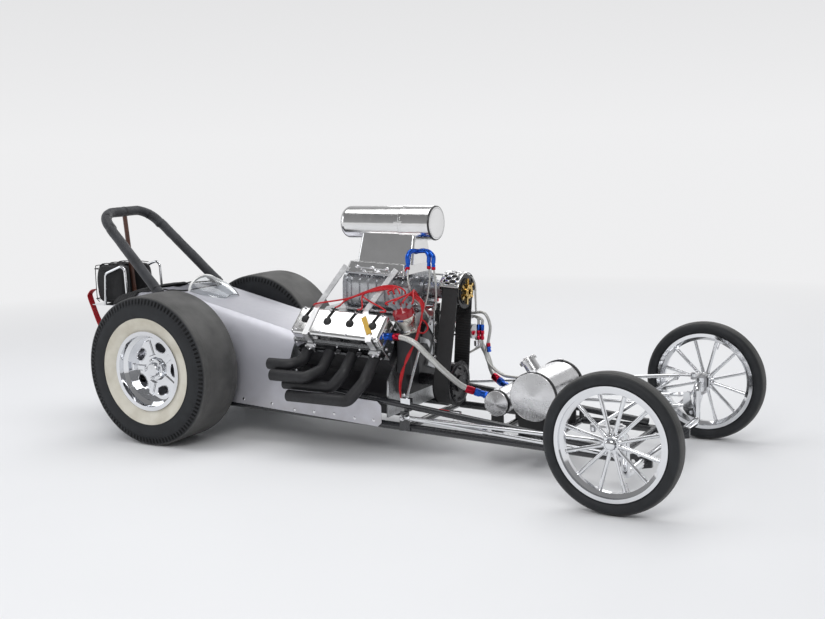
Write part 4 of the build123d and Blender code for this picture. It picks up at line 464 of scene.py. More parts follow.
class Shape:
    """A mesh made of several parts, in the row frame."""

    def __init__(self):
        self.bm = bmesh.new()

    def verts(self, spots):
        return [self.bm.verts.new(spot) for spot in spots]

    def skin(self, rings, closed_ends=True):
        for before, after in zip(rings, rings[1:]):
            for i in range(len(before)):
                j = (i + 1) % len(before)
                self.bm.faces.new((before[i], before[j], after[j], after[i]))
        if closed_ends:
            self.bm.faces.new(list(reversed(rings[0])))
            self.bm.faces.new(rings[-1])

    def rings(self, profile, place, steps):
        return [self.verts(place @ mm(radius * math.cos(t), radius * math.sin(t), height) for t in circle(steps))
                for radius, height in profile]

    def lathe(self, profile, place, steps):
        """A turned solid."""
        self.skin(self.rings(profile, place, steps))

    def band(self, profile, place, steps):
        """A turned band with a closed section, such as a rib round a tyre."""
        rings = self.rings(profile, place, steps)
        self.skin([*rings, rings[0]], closed_ends=False)

    def pipe(self, points, radius, sides=8, smooth=6):
        """A round tube along a smooth line through the points."""
        self.skin([self.verts(spot + (normal * math.cos(t) + side * math.sin(t)) * radius * MM
                              for t in circle(sides))
                   for spot, _, normal, side in frames(smooth_line(points, smooth))])

    def block(self, size, place, bevel):
        """A block with rounded edges, in millimetres, centred on the place."""
        made = bmesh.ops.create_cube(self.bm, size=1.0)
        for vertex in made["verts"]:
            vertex.co = place @ Vector([c * s * MM for c, s in zip(vertex.co, size)])
        edges = list(dict.fromkeys(edge for vertex in made["verts"] for edge in vertex.link_edges))
        bmesh.ops.bevel(self.bm, geom=edges, offset=bevel * MM, segments=2, affect="EDGES", profile=0.7)

    def bolt(self, point, axis, radius, height):
        """A hexagon head on a washer, with a chamfered top."""
        place = facing(point, axis, random.random())
        self.lathe([(radius * 1.35, -0.4), (radius * 1.35, 1.2), (radius * 1.1, 1.5)], place, 14)
        self.lathe([(radius, 1.0), (radius, height - 0.8), (radius * 0.82, height)], place, 6)

    def acorn(self, point, axis, radius):
        """A domed nut on a washer."""
        place = facing(point, axis, random.random())
        self.lathe([(radius * 1.3, -0.3), (radius * 1.3, 1.5), (radius, 1.6)], place, 14)
        self.lathe([(radius, 1.5), (radius, 6), (radius * 0.8, 7)], place, 6)
        self.lathe([(radius * 0.75, 6.5), (radius * 0.7, 9), (radius * 0.45, 11.5), (radius * 0.1, 12.5)], place, 12)

    def sheet(self, rows):
        """A skin through rows of points."""
        grid = [self.verts(row) for row in rows]
        for low, high in zip(grid, grid[1:]):
            for i in range(len(low) - 1):
                self.bm.faces.new((low[i], low[i + 1], high[i + 1], high[i]))

    def piece(self, name, look, slot, body="chassis", angle=38.0):
        mesh = bpy.data.meshes.new(name)
        bmesh.ops.recalc_face_normals(self.bm, faces=self.bm.faces)
        self.bm.to_mesh(mesh)
        self.bm.free()
        mesh.shade_smooth()
        mesh.set_sharp_from_angle(angle=math.radians(angle))
        mesh.materials.append(look.material)
        made = add(name, mesh)
        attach(made, body)
        return made


def add(name, data):
    made = bpy.data.objects.new(name, data)
    bpy.context.scene.collection.objects.link(made)
    return made


def thicken(made, thickness, offset=-1):
    thick = made.modifiers.new("thick", "SOLIDIFY")
    thick.thickness = thickness
    thick.offset = offset


def soften(made, render_levels=1):
    smooth = made.modifiers.new("smooth", "SUBSURF")
    smooth.levels = 1
    smooth.render_levels = render_levels


# Wheels


def tread_rib(crown, offset, root, proud, foot, top):
    """The section of a rib round a tyre."""
    return [(crown - root, offset - foot), (crown + proud, offset - top), (crown + proud, offset + top),
            (crown - root, offset + foot)]


def front_wheel_details(side, sign):
    place = wheel_matrix(WHEELBASE, sign * FRONT_Y, FRONT_R)
    out = place.to_3x3() @ Vector((0, 0, 1))
    body = f"wheel_front_{side}"
    trim = Shape()
    for turn in turns(place, 12, 15):
        along = turn.to_3x3() @ Vector((1, 0, 0))
        trim.lathe([(6.9, -16), (7.2, -10), (8.5, -4), (12, 0)], facing(turn @ mm(206.5, 0, 0), along), 14)
        trim.lathe([(12.5, 0), (11.6, 5), (9.6, 9), (9.2, 20), (8.2, 60), (8.6, 120), (9, 166), (8.6, 174)],
                   facing(turn @ mm(33, 0, 0), along), 14)
        trim.bolt(turned(turn, 15) @ mm(25, 0, 21.5), out, 2.6, 3)
    trim.lathe([(33.5, -40), (33.5, -34), (31.2, -30), (31.2, 12), (33.5, 15), (33.5, 19), (30, 21.5)], place, 40)
    trim.lathe([(20, 30), (21, 33.4), (18, 36), (12, 38), (5, 38.8), (1, 39)], place, 32)
    trim.piece(f"front_wheel_trim_{side}", chrome, "wire_wheel_chrome", body)

    valve = Shape()
    turn = turned(place, -70)
    valve.lathe([(5, 0), (4, 4), (3, 6), (3, 22), (4.2, 23), (4.2, 34), (2.5, 36)],
                facing(turn @ mm(206, 0, 0), turn.to_3x3() @ Vector((-1, 0, 0))), 12)
    valve.piece(f"front_valve_{side}", nut_metal, "wire_wheel_chrome", body)

    tread = Shape()
    for offset in (-27, -14, 0, 14, 27):
        crown = FRONT_R - (abs(offset) / 36) ** 2 * 12
        tread.band(tread_rib(crown, offset, 3, 0.25, 4.4, 3.6), place, 120)
    tread.piece(f"front_tread_{side}", front_rubber, "front_tyre_rubber", body)


def rear_wheel_details(side, sign):
    place = wheel_matrix(0, sign * REAR_Y, REAR_R)
    out = place.to_3x3() @ Vector((0, 0, 1))
    body = f"wheel_rear_{side}"
    ribs, gaps, rings, hub, valve = Shape(), Shape(), Shape(), Shape(), Shape()
    for turn in turns(place, 104):
        for face in (1, -1):
            rows = []
            for radius, height in ((345, 136), (346, 139.3), (356, 138.4), (368, 136.2), (376, 132.8), (381.5, 127)):
                half = 6.2 * radius / 381
                lift = 3.4 if radius > 345 else 0
                rows.append([turn @ mm(radius, w, face * (height + h)) for w, h in
                             ((-half, -2.5), (-half * 0.8, lift), (half * 0.8, lift), (half, -2.5))])
            ribs.sheet(rows)
    ribs.piece(f"rear_shoulder_ribs_{side}", rear_rubber, "rear_tyre_rubber", body)
    # A near-black band just under the shoulder ribs: painted shade in the gaps between them.
    for face in (1, -1):
        gaps.band([(r, face * h) for r, h in ((344, 137), (345, 140), (356, 139.1), (368, 136.9), (376, 133.5),
                                              (382, 127.5), (380, 126), (366, 132))], place, 120)
    gaps.piece(f"rear_shoulder_gaps_{side}", painted_gap_shade, "rear_tyre_rubber", body)

    for radius, height in ((279.5, 141.6), (336, 140.1), (341, 139.8)):
        rings.band([(radius - 1.6, height - 1), (radius, height + 1.4), (radius + 1.6, height - 1)], place, 120)
    for offset in (-118, -104, -86, 86, 104, 118):
        crown = REAR_R - (abs(offset) / 120) ** 2 * 3
        rings.band(tread_rib(crown, offset, 1.5, 0.3, 4, 3), place, 120)
    rings.piece(f"rear_tyre_rings_{side}", rear_rubber, "rear_tyre_rubber", body)

    for number, turn in enumerate(turns(place, 5)):
        hub.acorn(turned(turn, 36) @ mm(47, 0, 70.5), out, 9.5)
        lip = []
        for t in circle(28):
            square = 1.12 if abs(math.sin(2 * t)) > 0.8 else 1
            lip.append(turn @ mm(118 + 24.5 * math.cos(t) * square, 38 * math.sin(t), 52.2))
        hub.pipe([*lip, lip[0]], 2.6, 8, 1)
        # This deep bevel's corners change with the last digit of the place
        rib = place @ Matrix.Rotation(math.radians(72 * number) + math.radians(36), 4, "Z")
        hub.block((82, 30, 9), rib @ Matrix.Translation((0.112, 0, 0.0545)), 4)
    hub.lathe([(38, 60), (38, 70), (34, 84), (30, 88), (12, 89), (2, 90)], place, 36)
    hub.piece(f"rear_wheel_trim_{side}", chrome, "rear_wheel_chrome", body)

    valve.lathe([(5, 0), (4, 5), (3, 7), (3, 24), (4.2, 25), (4.2, 36), (2.5, 38)],
                facing(place @ mm(131, 131, 80), out), 12)
    valve.piece(f"rear_valve_{side}", nut_metal, "rear_wheel_chrome", body)


# Roll hoop padding, tail pad and parachute


def on_hoop(y, height):
    """A point of the leaning hoop's plane, from its width and its height along the lean."""
    rise = math.radians(90 - 42.5)
    return car(-207 - math.sin(rise) * height, y, 752 + math.cos(rise) * height)


def hoop_line():
    half = [on_hoop(y, height) for y, height in
            ((252.5, -20), (252, 0), (242.7, 100), (233.5, 200), (224.2, 300), (214.9, 400), (207.4, 480))]
    for step in range(9):
        turn = math.radians(-5.3 + step * 95.3 / 8)
        half.append(on_hoop(88 + 110 * math.cos(turn), 494 + 110 * math.sin(turn)))
    return smooth_line(half + [Vector((p.x, -p.y, p.z)) for p in reversed(half)], 6)


def hoop_padding():
    sleeve, ties = Shape(), Shape()
    route = list(frames(hoop_line()))
    rings = []
    for i, (spot, _, normal, side) in enumerate(route):
        seam = -0.7 if i % 19 == 9 else 0
        ring = []
        for t in circle(28):
            way = normal * math.cos(t) + side * math.sin(t)
            lump = noise.noise((spot + way * 0.05) * 16) * 1.2 + noise.noise((spot + way * 0.03) * 55) * 0.5
            ring.append(spot + way * (27.4 + lump + seam) * MM)
        rings.append(sleeve.verts(ring))
    sleeve.skin(rings)
    made = sleeve.piece("hoop_padding", foam, "hoop_padding", angle=80)
    for share in (0.035, 0.2, 0.35, 0.5, 0.65, 0.8, 0.965):
        spot, ahead, _, _ = route[int(share * (len(route) - 1))]
        ties.band([(27, -3), (29, -2.4), (29, 2.4), (27, 3)], facing(spot, ahead), 28)
    ties.piece("hoop_ties", black_plastic, "hoop_padding")


def deck_top(x):
    """Height of the deck's ridge."""
    if x > -200:
        return 761 - (x + 200) * 199 / 871
    if x > -370:
        return 761 + (x + 200) * 16 / 170
    return 745 + (x + 370) * 53 / 190


def deck_drop(y):
    """How far the crowned deck falls off at a distance from its ridge."""
    return 2254 - math.sqrt(2254 ** 2 - y ** 2)


def tail_pad():
    """A ribbed black pad laid over the tail deck, behind the cockpit."""
    pad, rows, last = Shape(), [], 56
    for step in range(last + 1):
        x = -388 - step * 3.0
        row = []
        for k in range(last + 1):
            y = (k - 28) * 8.6
            edge, side = min(step, last - step, 6) / 6, min(k, last - k, 4) / 4
            rib = abs(math.sin(math.pi * step / 7))
            puff = 16 * math.sqrt(min(edge, side)) * (0.55 + 0.45 * rib)
            puff += 1.6 * noise.noise(Vector((x, y, 0)) * 0.03)
            drop = deck_drop(y) + 0.009 * max(abs(y) - 190, 0) ** 2
            row.append(car(x, y, deck_top(x) - drop + puff))
        rows.append(row)
    pad.sheet(rows)
    made = pad.piece("tail_pad", pack_cloth, "pack_fabric", angle=70)
    thicken(made, 0.003)


def parachute_bag():
    """The soft pack: a bulging, creased bag, notched for the brace behind the hoop."""
    low, high = car(-786, -131, 644), car(-569, 131, 861)
    centre, half = (low + high) / 2, (high - low) / 2
    notch_x = car(-640, 0, 0).x
    bag = Shape()
    bmesh.ops.create_cube(bag.bm, size=2.0)
    bmesh.ops.subdivide_edges(bag.bm, edges=bag.bm.edges[:], cuts=11, use_grid_fill=True)
    for vertex in bag.bm.verts:
        unit = vertex.co.copy()
        x4, y4, z4 = (c ** 4 for c in unit)
        spot = unit * half * (1 - 0.055 * (x4 * y4 + y4 * z4 + x4 * z4)) * 0.985
        spot.z -= 0.02 * (1 - unit.z) * (1 - unit.y ** 2) * half.z
        crease = noise.noise(unit * 2.4) * 0.0045 + noise.noise(unit * 7) * 0.0016
        spot += unit.normalized() * crease + centre
        if abs(spot.y) < 0.06 and spot.x > notch_x - 0.02:
            spot.x = min(spot.x, notch_x - 0.012 + max(abs(spot.y) - 0.05, 0) * 3)
        vertex.co = spot
    made = bag.piece("parachute_bag", pack_cloth, "pack_fabric", angle=70)
    soften(made)
    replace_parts(made, "parachute_pack")


def parachute_trim():
    """Corded seams, three strips with eyelets, and the flat pull strap."""
    seams, strips, eyelets, strap = Shape(), Shape(), Shape(), Shape()
    half = [(-600, -133), (-690, -135.5), (-770, -132), (-787.5, -115), (-789.5, 0)]
    for z in (668, 840):
        seams.pipe([car(x, y, z) for x, y in half + [(x, -y) for x, y in half[-2::-1]]], 2.2, 8, 8)
    for y in (-118, 118):
        seams.pipe(line((-772, y, 650), (-788, y, 668), (-790.5, y, 750), (-788, y, 842), (-770, y, 860),
                        (-680, y, 864), (-600, y, 860)), 2.2)
    seams.piece("parachute_seams", pack_cloth, "pack_fabric")

    for y in (-70, 0, 70):
        strips.sheet([line((x, y - 16, z), (x, y - 15, z + 1), (x, y + 15, z + 1), (x, y + 16, z)) for x, z in
                      ((-640, 866.5), (-700, 868), (-765, 866), (-786, 856), (-791.5, 835), (-792.5, 790),
                       (-792, 752))])
        for z in (765, 790):
            eyelets.band([(3.5, 0.4), (5.5, 1.8), (7.5, 0.2)], facing(car(-793.5, y, z), (-1, 0, 0)), 20)
    thicken(strips.piece("parachute_strips", pack_cloth, "pack_fabric"), 0.0022)
    eyelets.piece("parachute_eyelets", brass, "pack_fabric")

    route = [(-791, 722), (-808, 712), (-826, 694), (-826, 676), (-806, 622), (-780, 560), (-752, 505)]
    rows = []
    for i, spot in enumerate(smooth_line([(x, 0, z) for x, z in route], 5)):
        twist = math.sin(i * 0.5)
        rows.append([car(spot.x + (twist if w > 0 else -twist), -135 + w, spot.z)
                     for w in (-19, -17, -6, 6, 17, 19)])
    strap.sheet(rows)
    thicken(strap.piece("pull_strap", red_webbing, "pack_fabric", angle=80), 0.0045, 0)


# Seat pads and steering wheel trim


def cushion(name, centre, size, tilt):
    """A crowned pad with six sewn channels, its corners drawn in."""
    pad = Shape()
    bmesh.ops.create_cube(pad.bm, size=2.0)
    bmesh.ops.subdivide_edges(pad.bm, edges=pad.bm.edges[:], cuts=15, use_grid_fill=True)
    place = at(centre) @ Matrix.Rotation(math.radians(tilt), 4, "Y")
    for vertex in pad.bm.verts:
        u = vertex.co.copy()
        crown = (1 - u.x ** 4) * (1 - u.y ** 4)
        pull = 1 - 0.05 * (1 - abs(u.x * u.y)) * 0.4
        groove = 0.16 * max(0.0, 1 - abs((u.y + 1) * 3 % 1 - 0.5) * 12)
        top = u.z * (0.45 + 0.55 * crown) - (groove if u.z > 0.5 else 0)
        vertex.co = place @ mm(u.x * size[0] * pull, u.y * size[1] * pull, top * size[2])
    made = pad.piece(name, seat_cloth, "seat_shell", angle=70)
    soften(made, 2)


def steering_trim():
    """The hub's rim and bolts, and the stitching round the grip."""
    slope = math.radians(14)
    tilt = facing(car(-175, 0, 610), (math.cos(slope), 0, -math.sin(slope)))
    hub, stitch = Shape(), Shape()
    hub.lathe([(27, -11), (29, -9), (29, -6), (24, -4.5)], tilt, 32)
    for turn in turns(tilt, 6):
        hub.bolt(turn @ mm(19, 0, -10.5), tilt.to_3x3() @ Vector((0, 0, -1)), 2.6, 3)
    hub.piece("wheel_hub_trim", nut_metal, "wheel_grip", "steering_wheel")
    for turn in turns(tilt, 96):
        spots = []
        for step in range(5):
            t = math.radians(-55 + step * 27.5)
            reach, slant = 118 - 9.3 * math.cos(t), step * 0.006
            spots.append(turn @ mm(reach * math.cos(slant), reach * math.sin(slant), -9.3 * math.sin(t)))
        stitch.pipe(spots, 0.5, 5, 1)
    stitch.piece("wheel_stitching", boot_rubber, "wheel_grip", "steering_wheel")


# Engine dressing

MAG_LEAN = direction(-0.185, -0.32, 0.929)


def magneto_point(along):
    return eng(323, -155, 265) + MAG_LEAN * along * MM


def magneto_boot(number):
    """Foot and direction of a lead's boot: four fanned out in front, four upright behind."""
    near, aside = direction(0.5, -0.86, 0), direction(0.86, 0.5, 0) * (number % 4 - 1.5)
    if number < 4:
        return (magneto_point(128) + near * 0.014 + aside * 0.017,
                (MAG_LEAN * 0.7 + near * 0.7 + aside * 0.42).normalized())
    return magneto_point(142) - near * 0.012 + aside * 0.019, (MAG_LEAN + aside * 0.1).normalized()


def magneto_dress():
    """A flared cup with a red ring, crowned by the boots of eight leads."""
    place = facing(magneto_point(0), MAG_LEAN)
    cup, ring, boots, trim = Shape(), Shape(), Shape(), Shape()
    cup.lathe([(34, -28), (34, 3), (44, 4), (44, 11), (37, 13), (38, 26), (44, 44), (50, 66), (52.5, 84), (52, 87)],
              place, 48)
    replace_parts(cup.piece("magneto_cup", cap_cream, "magneto_metal"), "magneto")
    ring.lathe([(51, 85), (54, 87), (54.4, 92), (53.2, 97), (54.4, 102), (54, 116), (50, 124), (38, 134),
                (30, 148), (2, 152)], place, 48)
    ring.piece("magneto_ring", red_cap, "magneto_metal")
    for number in range(8):
        boots.lathe([(11.2, 0), (11.2, 18), (10.2, 20), (10.2, 44), (9, 48), (8.4, 58), (6, 62)],
                    facing(*magneto_boot(number)), 18)
    boots.piece("magneto_boots", boot_rubber, "magneto_metal")
    trim.band([(36, 14), (39.6, 15), (39.6, 21), (36, 22)], place, 40)
    for turn in turns(place, 4, 30):
        trim.block((26, 8, 4), facing(turn @ mm(54, 0, 86), turn.to_3x3() @ Vector((1, 0, 0))), 1.2)
    trim.piece("magneto_clips", nut_metal, "magneto_metal")


def plug_boots_and_wires():
    """Flat boots on the covers, short black leads and the red leads that arch to the magneto."""
    boots, dark, red = Shape(), Shape(), Shape()
    for side in (-1, 1):
        for index, x in enumerate(CYLINDERS):
            boots.lathe([(21, 0), (21, 3), (18, 4.5), (17, 9), (12, 12), (9, 14), (2, 14.5)],
                        facing(bank(x, 424, -2, side), bank_out(side)), 24)
            dark.pipe([bank(x, 435, -6, side), bank(x - 4, 430, -26, side), bank(x + 4, 428.5, -56, side),
                       bank(x + 12, 429, -88, side)], 4.2)
            run = [bank(x + 11, 430, -84, side)]
            if side == -1:
                run.append(run[0] + mm(30, -4, 12))
                if index > 1:
                    run.append(car(980, -222 + 7 * index, 738 + 6 * index))
                run += line((1078, -214 + 6 * index, 776 + 5 * index), (1168, -200 + 4 * index, 806 + 5 * index),
                            (1244, -190 + 2 * index, 812 + 5 * index))
            else:
                run += [bank(x + 30, 428, -98, side), bank(x + 90, 428 + 6 * index, -108, side)]
                if index > 1:
                    run.append(bank(40, 434 + 6 * index, -114, side))
                run += [bank(250, 430 + 4 * index, -110, side), eng(322, 110 - 6 * index, 318 + 7 * index),
                        eng(330, 0, 330 + 7 * index), eng(345, -105, 400 + 9 * index),
                        eng(345, -165, 452 + 7 * index)]
            foot, way = magneto_boot(index + (4 if side == -1 else 0))
            red.pipe([*run, foot + way * 0.078, foot + way * 0.04], 4.2)
    boots.piece("plug_boots", black_rubber, "belt_rubber")
    dark.piece("plug_leads", wire_black, "belt_rubber")
    red.piece("ignition_leads", wire_red, "belt_rubber")


def engine_fasteners():
    """Bolts and nuts of the heads, covers and blower, and a dark polished sheet on the covers' sides: a painted
    reflection of dark ground.
    """
    nuts, sides = Shape(), Shape()
    for side in (-1, 1):
        across, out = bank_across(side), bank_out(side)
        for x in CYLINDERS:
            for reach in (-33, 33):
                nuts.bolt(bank(x + reach, 294, 93.2, side), across, 5.5, 7)
        for x in (-240, -130, 0, 130, 240):
            nuts.acorn(bank(x, 348, 85, side), across, 7)
        for x in (-225, -75, 75, 225):
            for v in (-66, 66):
                nuts.acorn(bank(x, 424, v, side), out, 5.5)
        for n, v in ((290, 60), (330, 60), (290, -60), (330, -60), (305, 0)):
            nuts.bolt(bank(262, n, v, side), AHEAD, 7, 6)
            nuts.bolt(bank(-262, n, v, side), ASTERN, 7, 6)
    for x in (-50, 20, 90, 160, 230, 268):
        for side in (-1, 1):
            nuts.bolt(eng(x, side * 132, 352), UP, 4.5, 5)
            nuts.bolt(eng(x, side * 132, 523), direction(0, 0, -1), 4.5, 5)

    def blower_ends(y, z):
        nuts.bolt(eng(BLOWER_FRONT, y, z), AHEAD, 5, 5)
        nuts.bolt(eng(BLOWER_REAR, y, z), ASTERN, 5, 5)

    for y in (-100, -50, 0, 50, 100):
        for z in (358, 517):
            blower_ends(y, z)
    for side in (-1, 1):
        for z in (400, 438, 476):
            blower_ends(side * 122, z)
        for x in (-40, 30, 110, 190, 260):
            nuts.bolt(eng(x, side * 134, 548), direction(0, side * 0.4, 1), 4.5, 5)
    for t in circle(10):
        nuts.bolt(eng(BLOWER_FRONT, DRIVE_Y + 52 * math.cos(t), DRIVE_Z + 52 * math.sin(t)), AHEAD, 3.6, 4)
    nuts.piece("engine_fasteners", nut_metal, "polished_covers")
    # Dark polished sheets and pads on the covers' sides: painted reflection of dark ground on those faces.
    for side in (-1, 1):
        sides.skin([sides.verts(bank(x, n, v, side) for n, v in ((356, 86), (356, 92), (306, 95), (306, 86)))
                    for x in (-255, 255)])
        for x in (-10, 110):
            sides.block((26, 12, 10), facing(bank(x, 309, 99, side), bank_out(side)), 3)
    sides.piece("cover_sides", cover_side_reflection, "polished_covers")


def blower_nose():
    """The ribbed front plate of the blower and the neck of its nose."""
    nose = Shape()
    place = facing(eng(BLOWER_FRONT, DRIVE_Y, DRIVE_Z), AHEAD)
    nose.lathe([(66, -0.2), (66, 7), (60, 10), (50, 12), (47.5, 30), (47, 96), (49.5, 98), (49.5, 108), (46, 109)],
               place, 40)
    for turn in turns(place, 8, 22.5):
        nose.block((16, 5, 34), turn @ shift(52, 0, 20), 1.5)
    nose.piece("blower_nose", blower_metal, "cast_aluminium")


def belt_teeth():
    """Teeth inside the belt's two free runs."""
    top, low = Vector((DRIVE_Y, DRIVE_Z)), Vector((0, 0))
    up = (top - low).normalized()
    lean = math.asin((CRANK_PULLEY_R - TOP_PULLEY_R) / (top - low).length)
    pitch, depth = 12.7, 1.7
    teeth = Shape()
    for sign in (1, -1):
        way = Vector((up.y, -up.x)) * sign * math.cos(lean) + up * math.sin(lean)
        start, end = low + way * CRANK_PULLEY_R, top + way * TOP_PULLEY_R
        run = (end - start).normalized()
        for number in range(1, int((end - start).length // pitch)):
            spot = start + run * (number * pitch) - way * depth
            place = ENGINE @ shift(471, spot.x, spot.y) @ Matrix.Rotation(math.atan2(run.y, run.x), 4, "X")
            teeth.block((79, 6.2, 4), place, 1)
    teeth.piece("belt_teeth", belt_black, "belt_rubber")


def pulley_dress():
    """The pulleys' faces, the starter hub's spokes and the plate behind the belt."""
    faces, gold, plate = Shape(), Shape(), Shape()
    for y, z, radius, bore, holes, reach in ((DRIVE_Y, DRIVE_Z, 66, 46, 6, 55), (0, 0, 94, 54, 8, 74)):
        place = facing(eng(516.6, y, z), AHEAD)
        faces.lathe([(radius, -2), (radius, 3.2), (radius - 5, 5.4), (radius - 9, 3.6), (bore, 3.2)], place, 48)
        for turn in turns(place, holes):
            faces.bolt(turn @ mm(reach, 0, 4), AHEAD, 4.5, 5)
    faces.piece("pulley_faces", pulley_black, "polished_aluminium")
    place = facing(eng(536.6, DRIVE_Y, DRIVE_Z), AHEAD)
    gold.band([(14.6, -0.5), (15.5, 2.5), (19, 2.5), (19, -0.5)], place, 48)
    for turn in turns(place, 6):
        gold.bolt(turn @ mm(26.5, 0, 0), AHEAD, 3.4, 4)
        gold.block((30, 9, 12), turned(turn, 30) @ shift(47, 0, -14.5), 2)
    gold.piece("hub_spokes", brass, "polished_aluminium")
    plate.block((8, 112, 284), ENGINE @ shift(378, 38, 246), 3)
    for y in (-8, 84):
        for z in (118, 200, 290, 372):
            plate.bolt(eng(382, y, z), AHEAD, 6.5, 7)
        for z, root in ((118, 330), (372, 296)):
            plate.lathe([(11, 0), (11, 378 - root)], facing(eng(root, y, z), AHEAD), 16)
    plate.piece("drive_plate", bright_covers, "polished_covers")


def guard_lattice():
    """The guard over the top pulley: a bent plate pierced by a lattice of openings."""
    guard, arm, count = Shape(), Shape(), 34
    grid = []
    for step in range(count + 1):
        angle = math.radians(-4 + 168 * step / count)
        y, z = DRIVE_Y + 94.5 * math.cos(angle), DRIVE_Z + 94.5 * math.sin(angle)
        grid.append(guard.verts(eng(x, y, z) for x in (414.3, 426, 441, 454.5, 468, 481.5, 495, 510, 521.7)))
    for i, (before, after) in enumerate(zip(grid, grid[1:])):
        for k in range(8):
            opening = 0 < k < 7 and 1 < i < count - 2 and (i + 2 * (k // 2)) % 4 in (1, 2)
            if not opening:
                guard.bm.faces.new((before[k], before[k + 1], after[k + 1], after[k]))
    made = guard.piece("guard_lattice", bright_covers, "sheet_aluminium", angle=60)
    thicken(made, 0.003, 0)
    soften(made)
    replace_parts(made, "belt_guard")
    arm.block((5, 26, 108), turned(ENGINE @ shift(417, 149.6, 396), 90), 1.5)
    for z in (350, 370, 430):
        arm.bolt(eng(417, 152, z), direction(0, 1, 0), 5, 5)
    place = facing(eng(414, DRIVE_Y, DRIVE_Z), AHEAD)
    arm.band([(45.6, 0.2), (45.6, 4.2), (57, 4.2), (57, 0.2)], place, 40)
    for number in range(4):
        arm.block((40, 14, 4), turned(place, 15 + 50 * number) @ shift(75, 0, 2.2), 1)
    arm.piece("guard_bracket", bright_covers, "sheet_aluminium")


# Hoses, fittings and wiring


def fitting(collar, nut, point, way, r, length):
    """A hose end: a fluted collar and two hexagons."""
    place = facing(point, way)

    collar.lathe([(r * 1.02, 0), (r * 1.3, 2), (r * 1.3, length * 0.34), (r * 1.12, length * 0.38)], place, 12)
    for steps, *profile in ((6, (1.05, 0.38), (1.36, 0.4), (1.36, 0.62), (1.1, 0.65)),
                            (16, (1.07, 0.64), (1.07, 0.78)),
                            (6, (1.1, 0.77), (1.3, 0.8), (1.3, 0.97), (1.05, 1))):
        nut.lathe([(r * wide, length * along) for wide, along in profile], place, steps)


def hoses():
    """Fuel hoses and lines with their ends, the injector's elbows and the block they meet at."""
    blue, red, braided, thin, block = Shape(), Shape(), Shape(), Shape(), Shape()
    for side in (-1, 1):
        fitting(red, blue, car(1327, side * 290, 598), (-1, 0, 0), 14.5, 84)
        way = Vector((-0.84, side * 0.44, 0.33)).normalized()
        fitting(red, blue, car(SMALL_TANK_X, side * 74, SMALL_TANK_Z) + way * 0.188, -way, 14.5, 118)
    braided.pipe(line((1492, 150, 659), (1560, 150, 662), (1591, 150, 603), (1584, 150, 537), (1566, 150, 450),
                      (1600, 145, 395), (1669, 140, 356), (1752, 128, 352)), 7.5, 12, 8)
    fitting(red, blue, car(1579, 150, 512), (0.12, 0, -1), 8.5, 46)
    braided.pipe(line((1213, 100, 736), (1256, 105, 830), (1315, 110, 853), (1400, 116, 846), (1462, 122, 850),
                      (1500, 124, 848), (1522, 128, 812), (1523, 132, 740), (1520, 140, 668)), 5.2, 10, 8)
    hub = car(1312, -62, 986)
    for port, *run in (
        ((1286, -122, 912), (1300, -148, 850), (1318, -140, 776), (1352, -112, 720), (1378, -90, 668)),
        ((1370, -62, 912), (1374, -66, 846), (1362, -72, 763), (1346, -78, 708), (1330, -84, 664)),
        ((1394, -60, 908), (1404, -62, 846), (1408, -66, 764), (1398, -60, 700)),
    ):
        thin.pipe(line(port, *run), 5, 10, 8)
        base = car(*port)
        fitting(red, blue, base - mm(0, 0, 12), (0, 0, 1), 8, 40)
        lift = base + mm(0, 0, 55)
        blue.pipe([base + mm(0, 0, 22), lift, lift.lerp(hub, 0.35) + mm(0, 0, 16), hub], 11, 12)
    blue.pipe([hub, hub + mm(-50, 10, -12), hub + mm(-110, 20, -30)], 12, 12, 4)
    for x, reach in ((1528, 1511), (1548, 1514)):
        fitting(blue, red, car(x, 150, 604), (-0.02, 0, -1), 8, 78)
        braided.pipe(line((1488, 150, 640), (reach, 150, 642), (x, 150, 628), (x, 150, 600)), 7, 10)
        thin.pipe(line((x - 1, 150, 530), (x - 3, 149, 500), (1500, 140, 470), (1440, 118, 440)), 5, 10)
    braided.pipe(line((1300, 128, 640), (1346, 150, 592), (1417, 152, 578), (1462, 152, 572)), 9, 12)
    fitting(blue, red, car(1455, 152, 573), (1, 0, -0.35), 9.5, 52)
    blue.piece("blue_fittings", blue_fitting, "braided_hose")
    red.piece("red_fittings", red_fitting, "braided_hose")
    braided.piece("fuel_hoses", hose_braid, "braided_hose")
    thin.piece("fuel_lines", hose_braid, "braided_hose")
    block.block((44, 34, 44), at(car(1472, 150, 650)), 4)
    block.pipe([eng(417, 150, 352), eng(440, 150, 318), eng(480, 150, 306)], 9, 12, 4)
    block.lathe([(15, 0), (15, 26), (12, 28)], facing(car(1517, 150, 520), (0, 0, -1)), 20)
    for z in (636, 664):
        block.bolt(car(1472, 132, z), (0, -1, 0), 5, 5)
    block.piece("fuel_block", nut_metal, "cast_aluminium")


def wiring():
    """The red loom from the magneto's crown, round its front and down to the rail."""
    loom = Shape()
    crown = magneto_point(150)
    for s in (-5, 0, 6):
        loom.pipe([crown, crown + mm(22, 30, 42), *line(
            (1341 + s, -158, 776 + s), (1378 + s, -152 + s, 739), (1376 - s, -160 + s, 672), (1376, -186 + s, 626),
            (1374, -224 + s, 566), (1338 - s, -236, 492), (1306 + s, -240, 414), (1294, -244 + s, 345),
            (1300, -250, 292))], 3.8)
    loom.pipe(line((1376, -164, 668), (1386, -140, 650), (1392, -128, 618), (1378, -150, 598), (1364, -176, 612),
                   (1374, -170, 646)), 4.2)
    loom.piece("red_loom", wire_red, "belt_rubber")


# Straps, chassis, panels, tanks and scoop


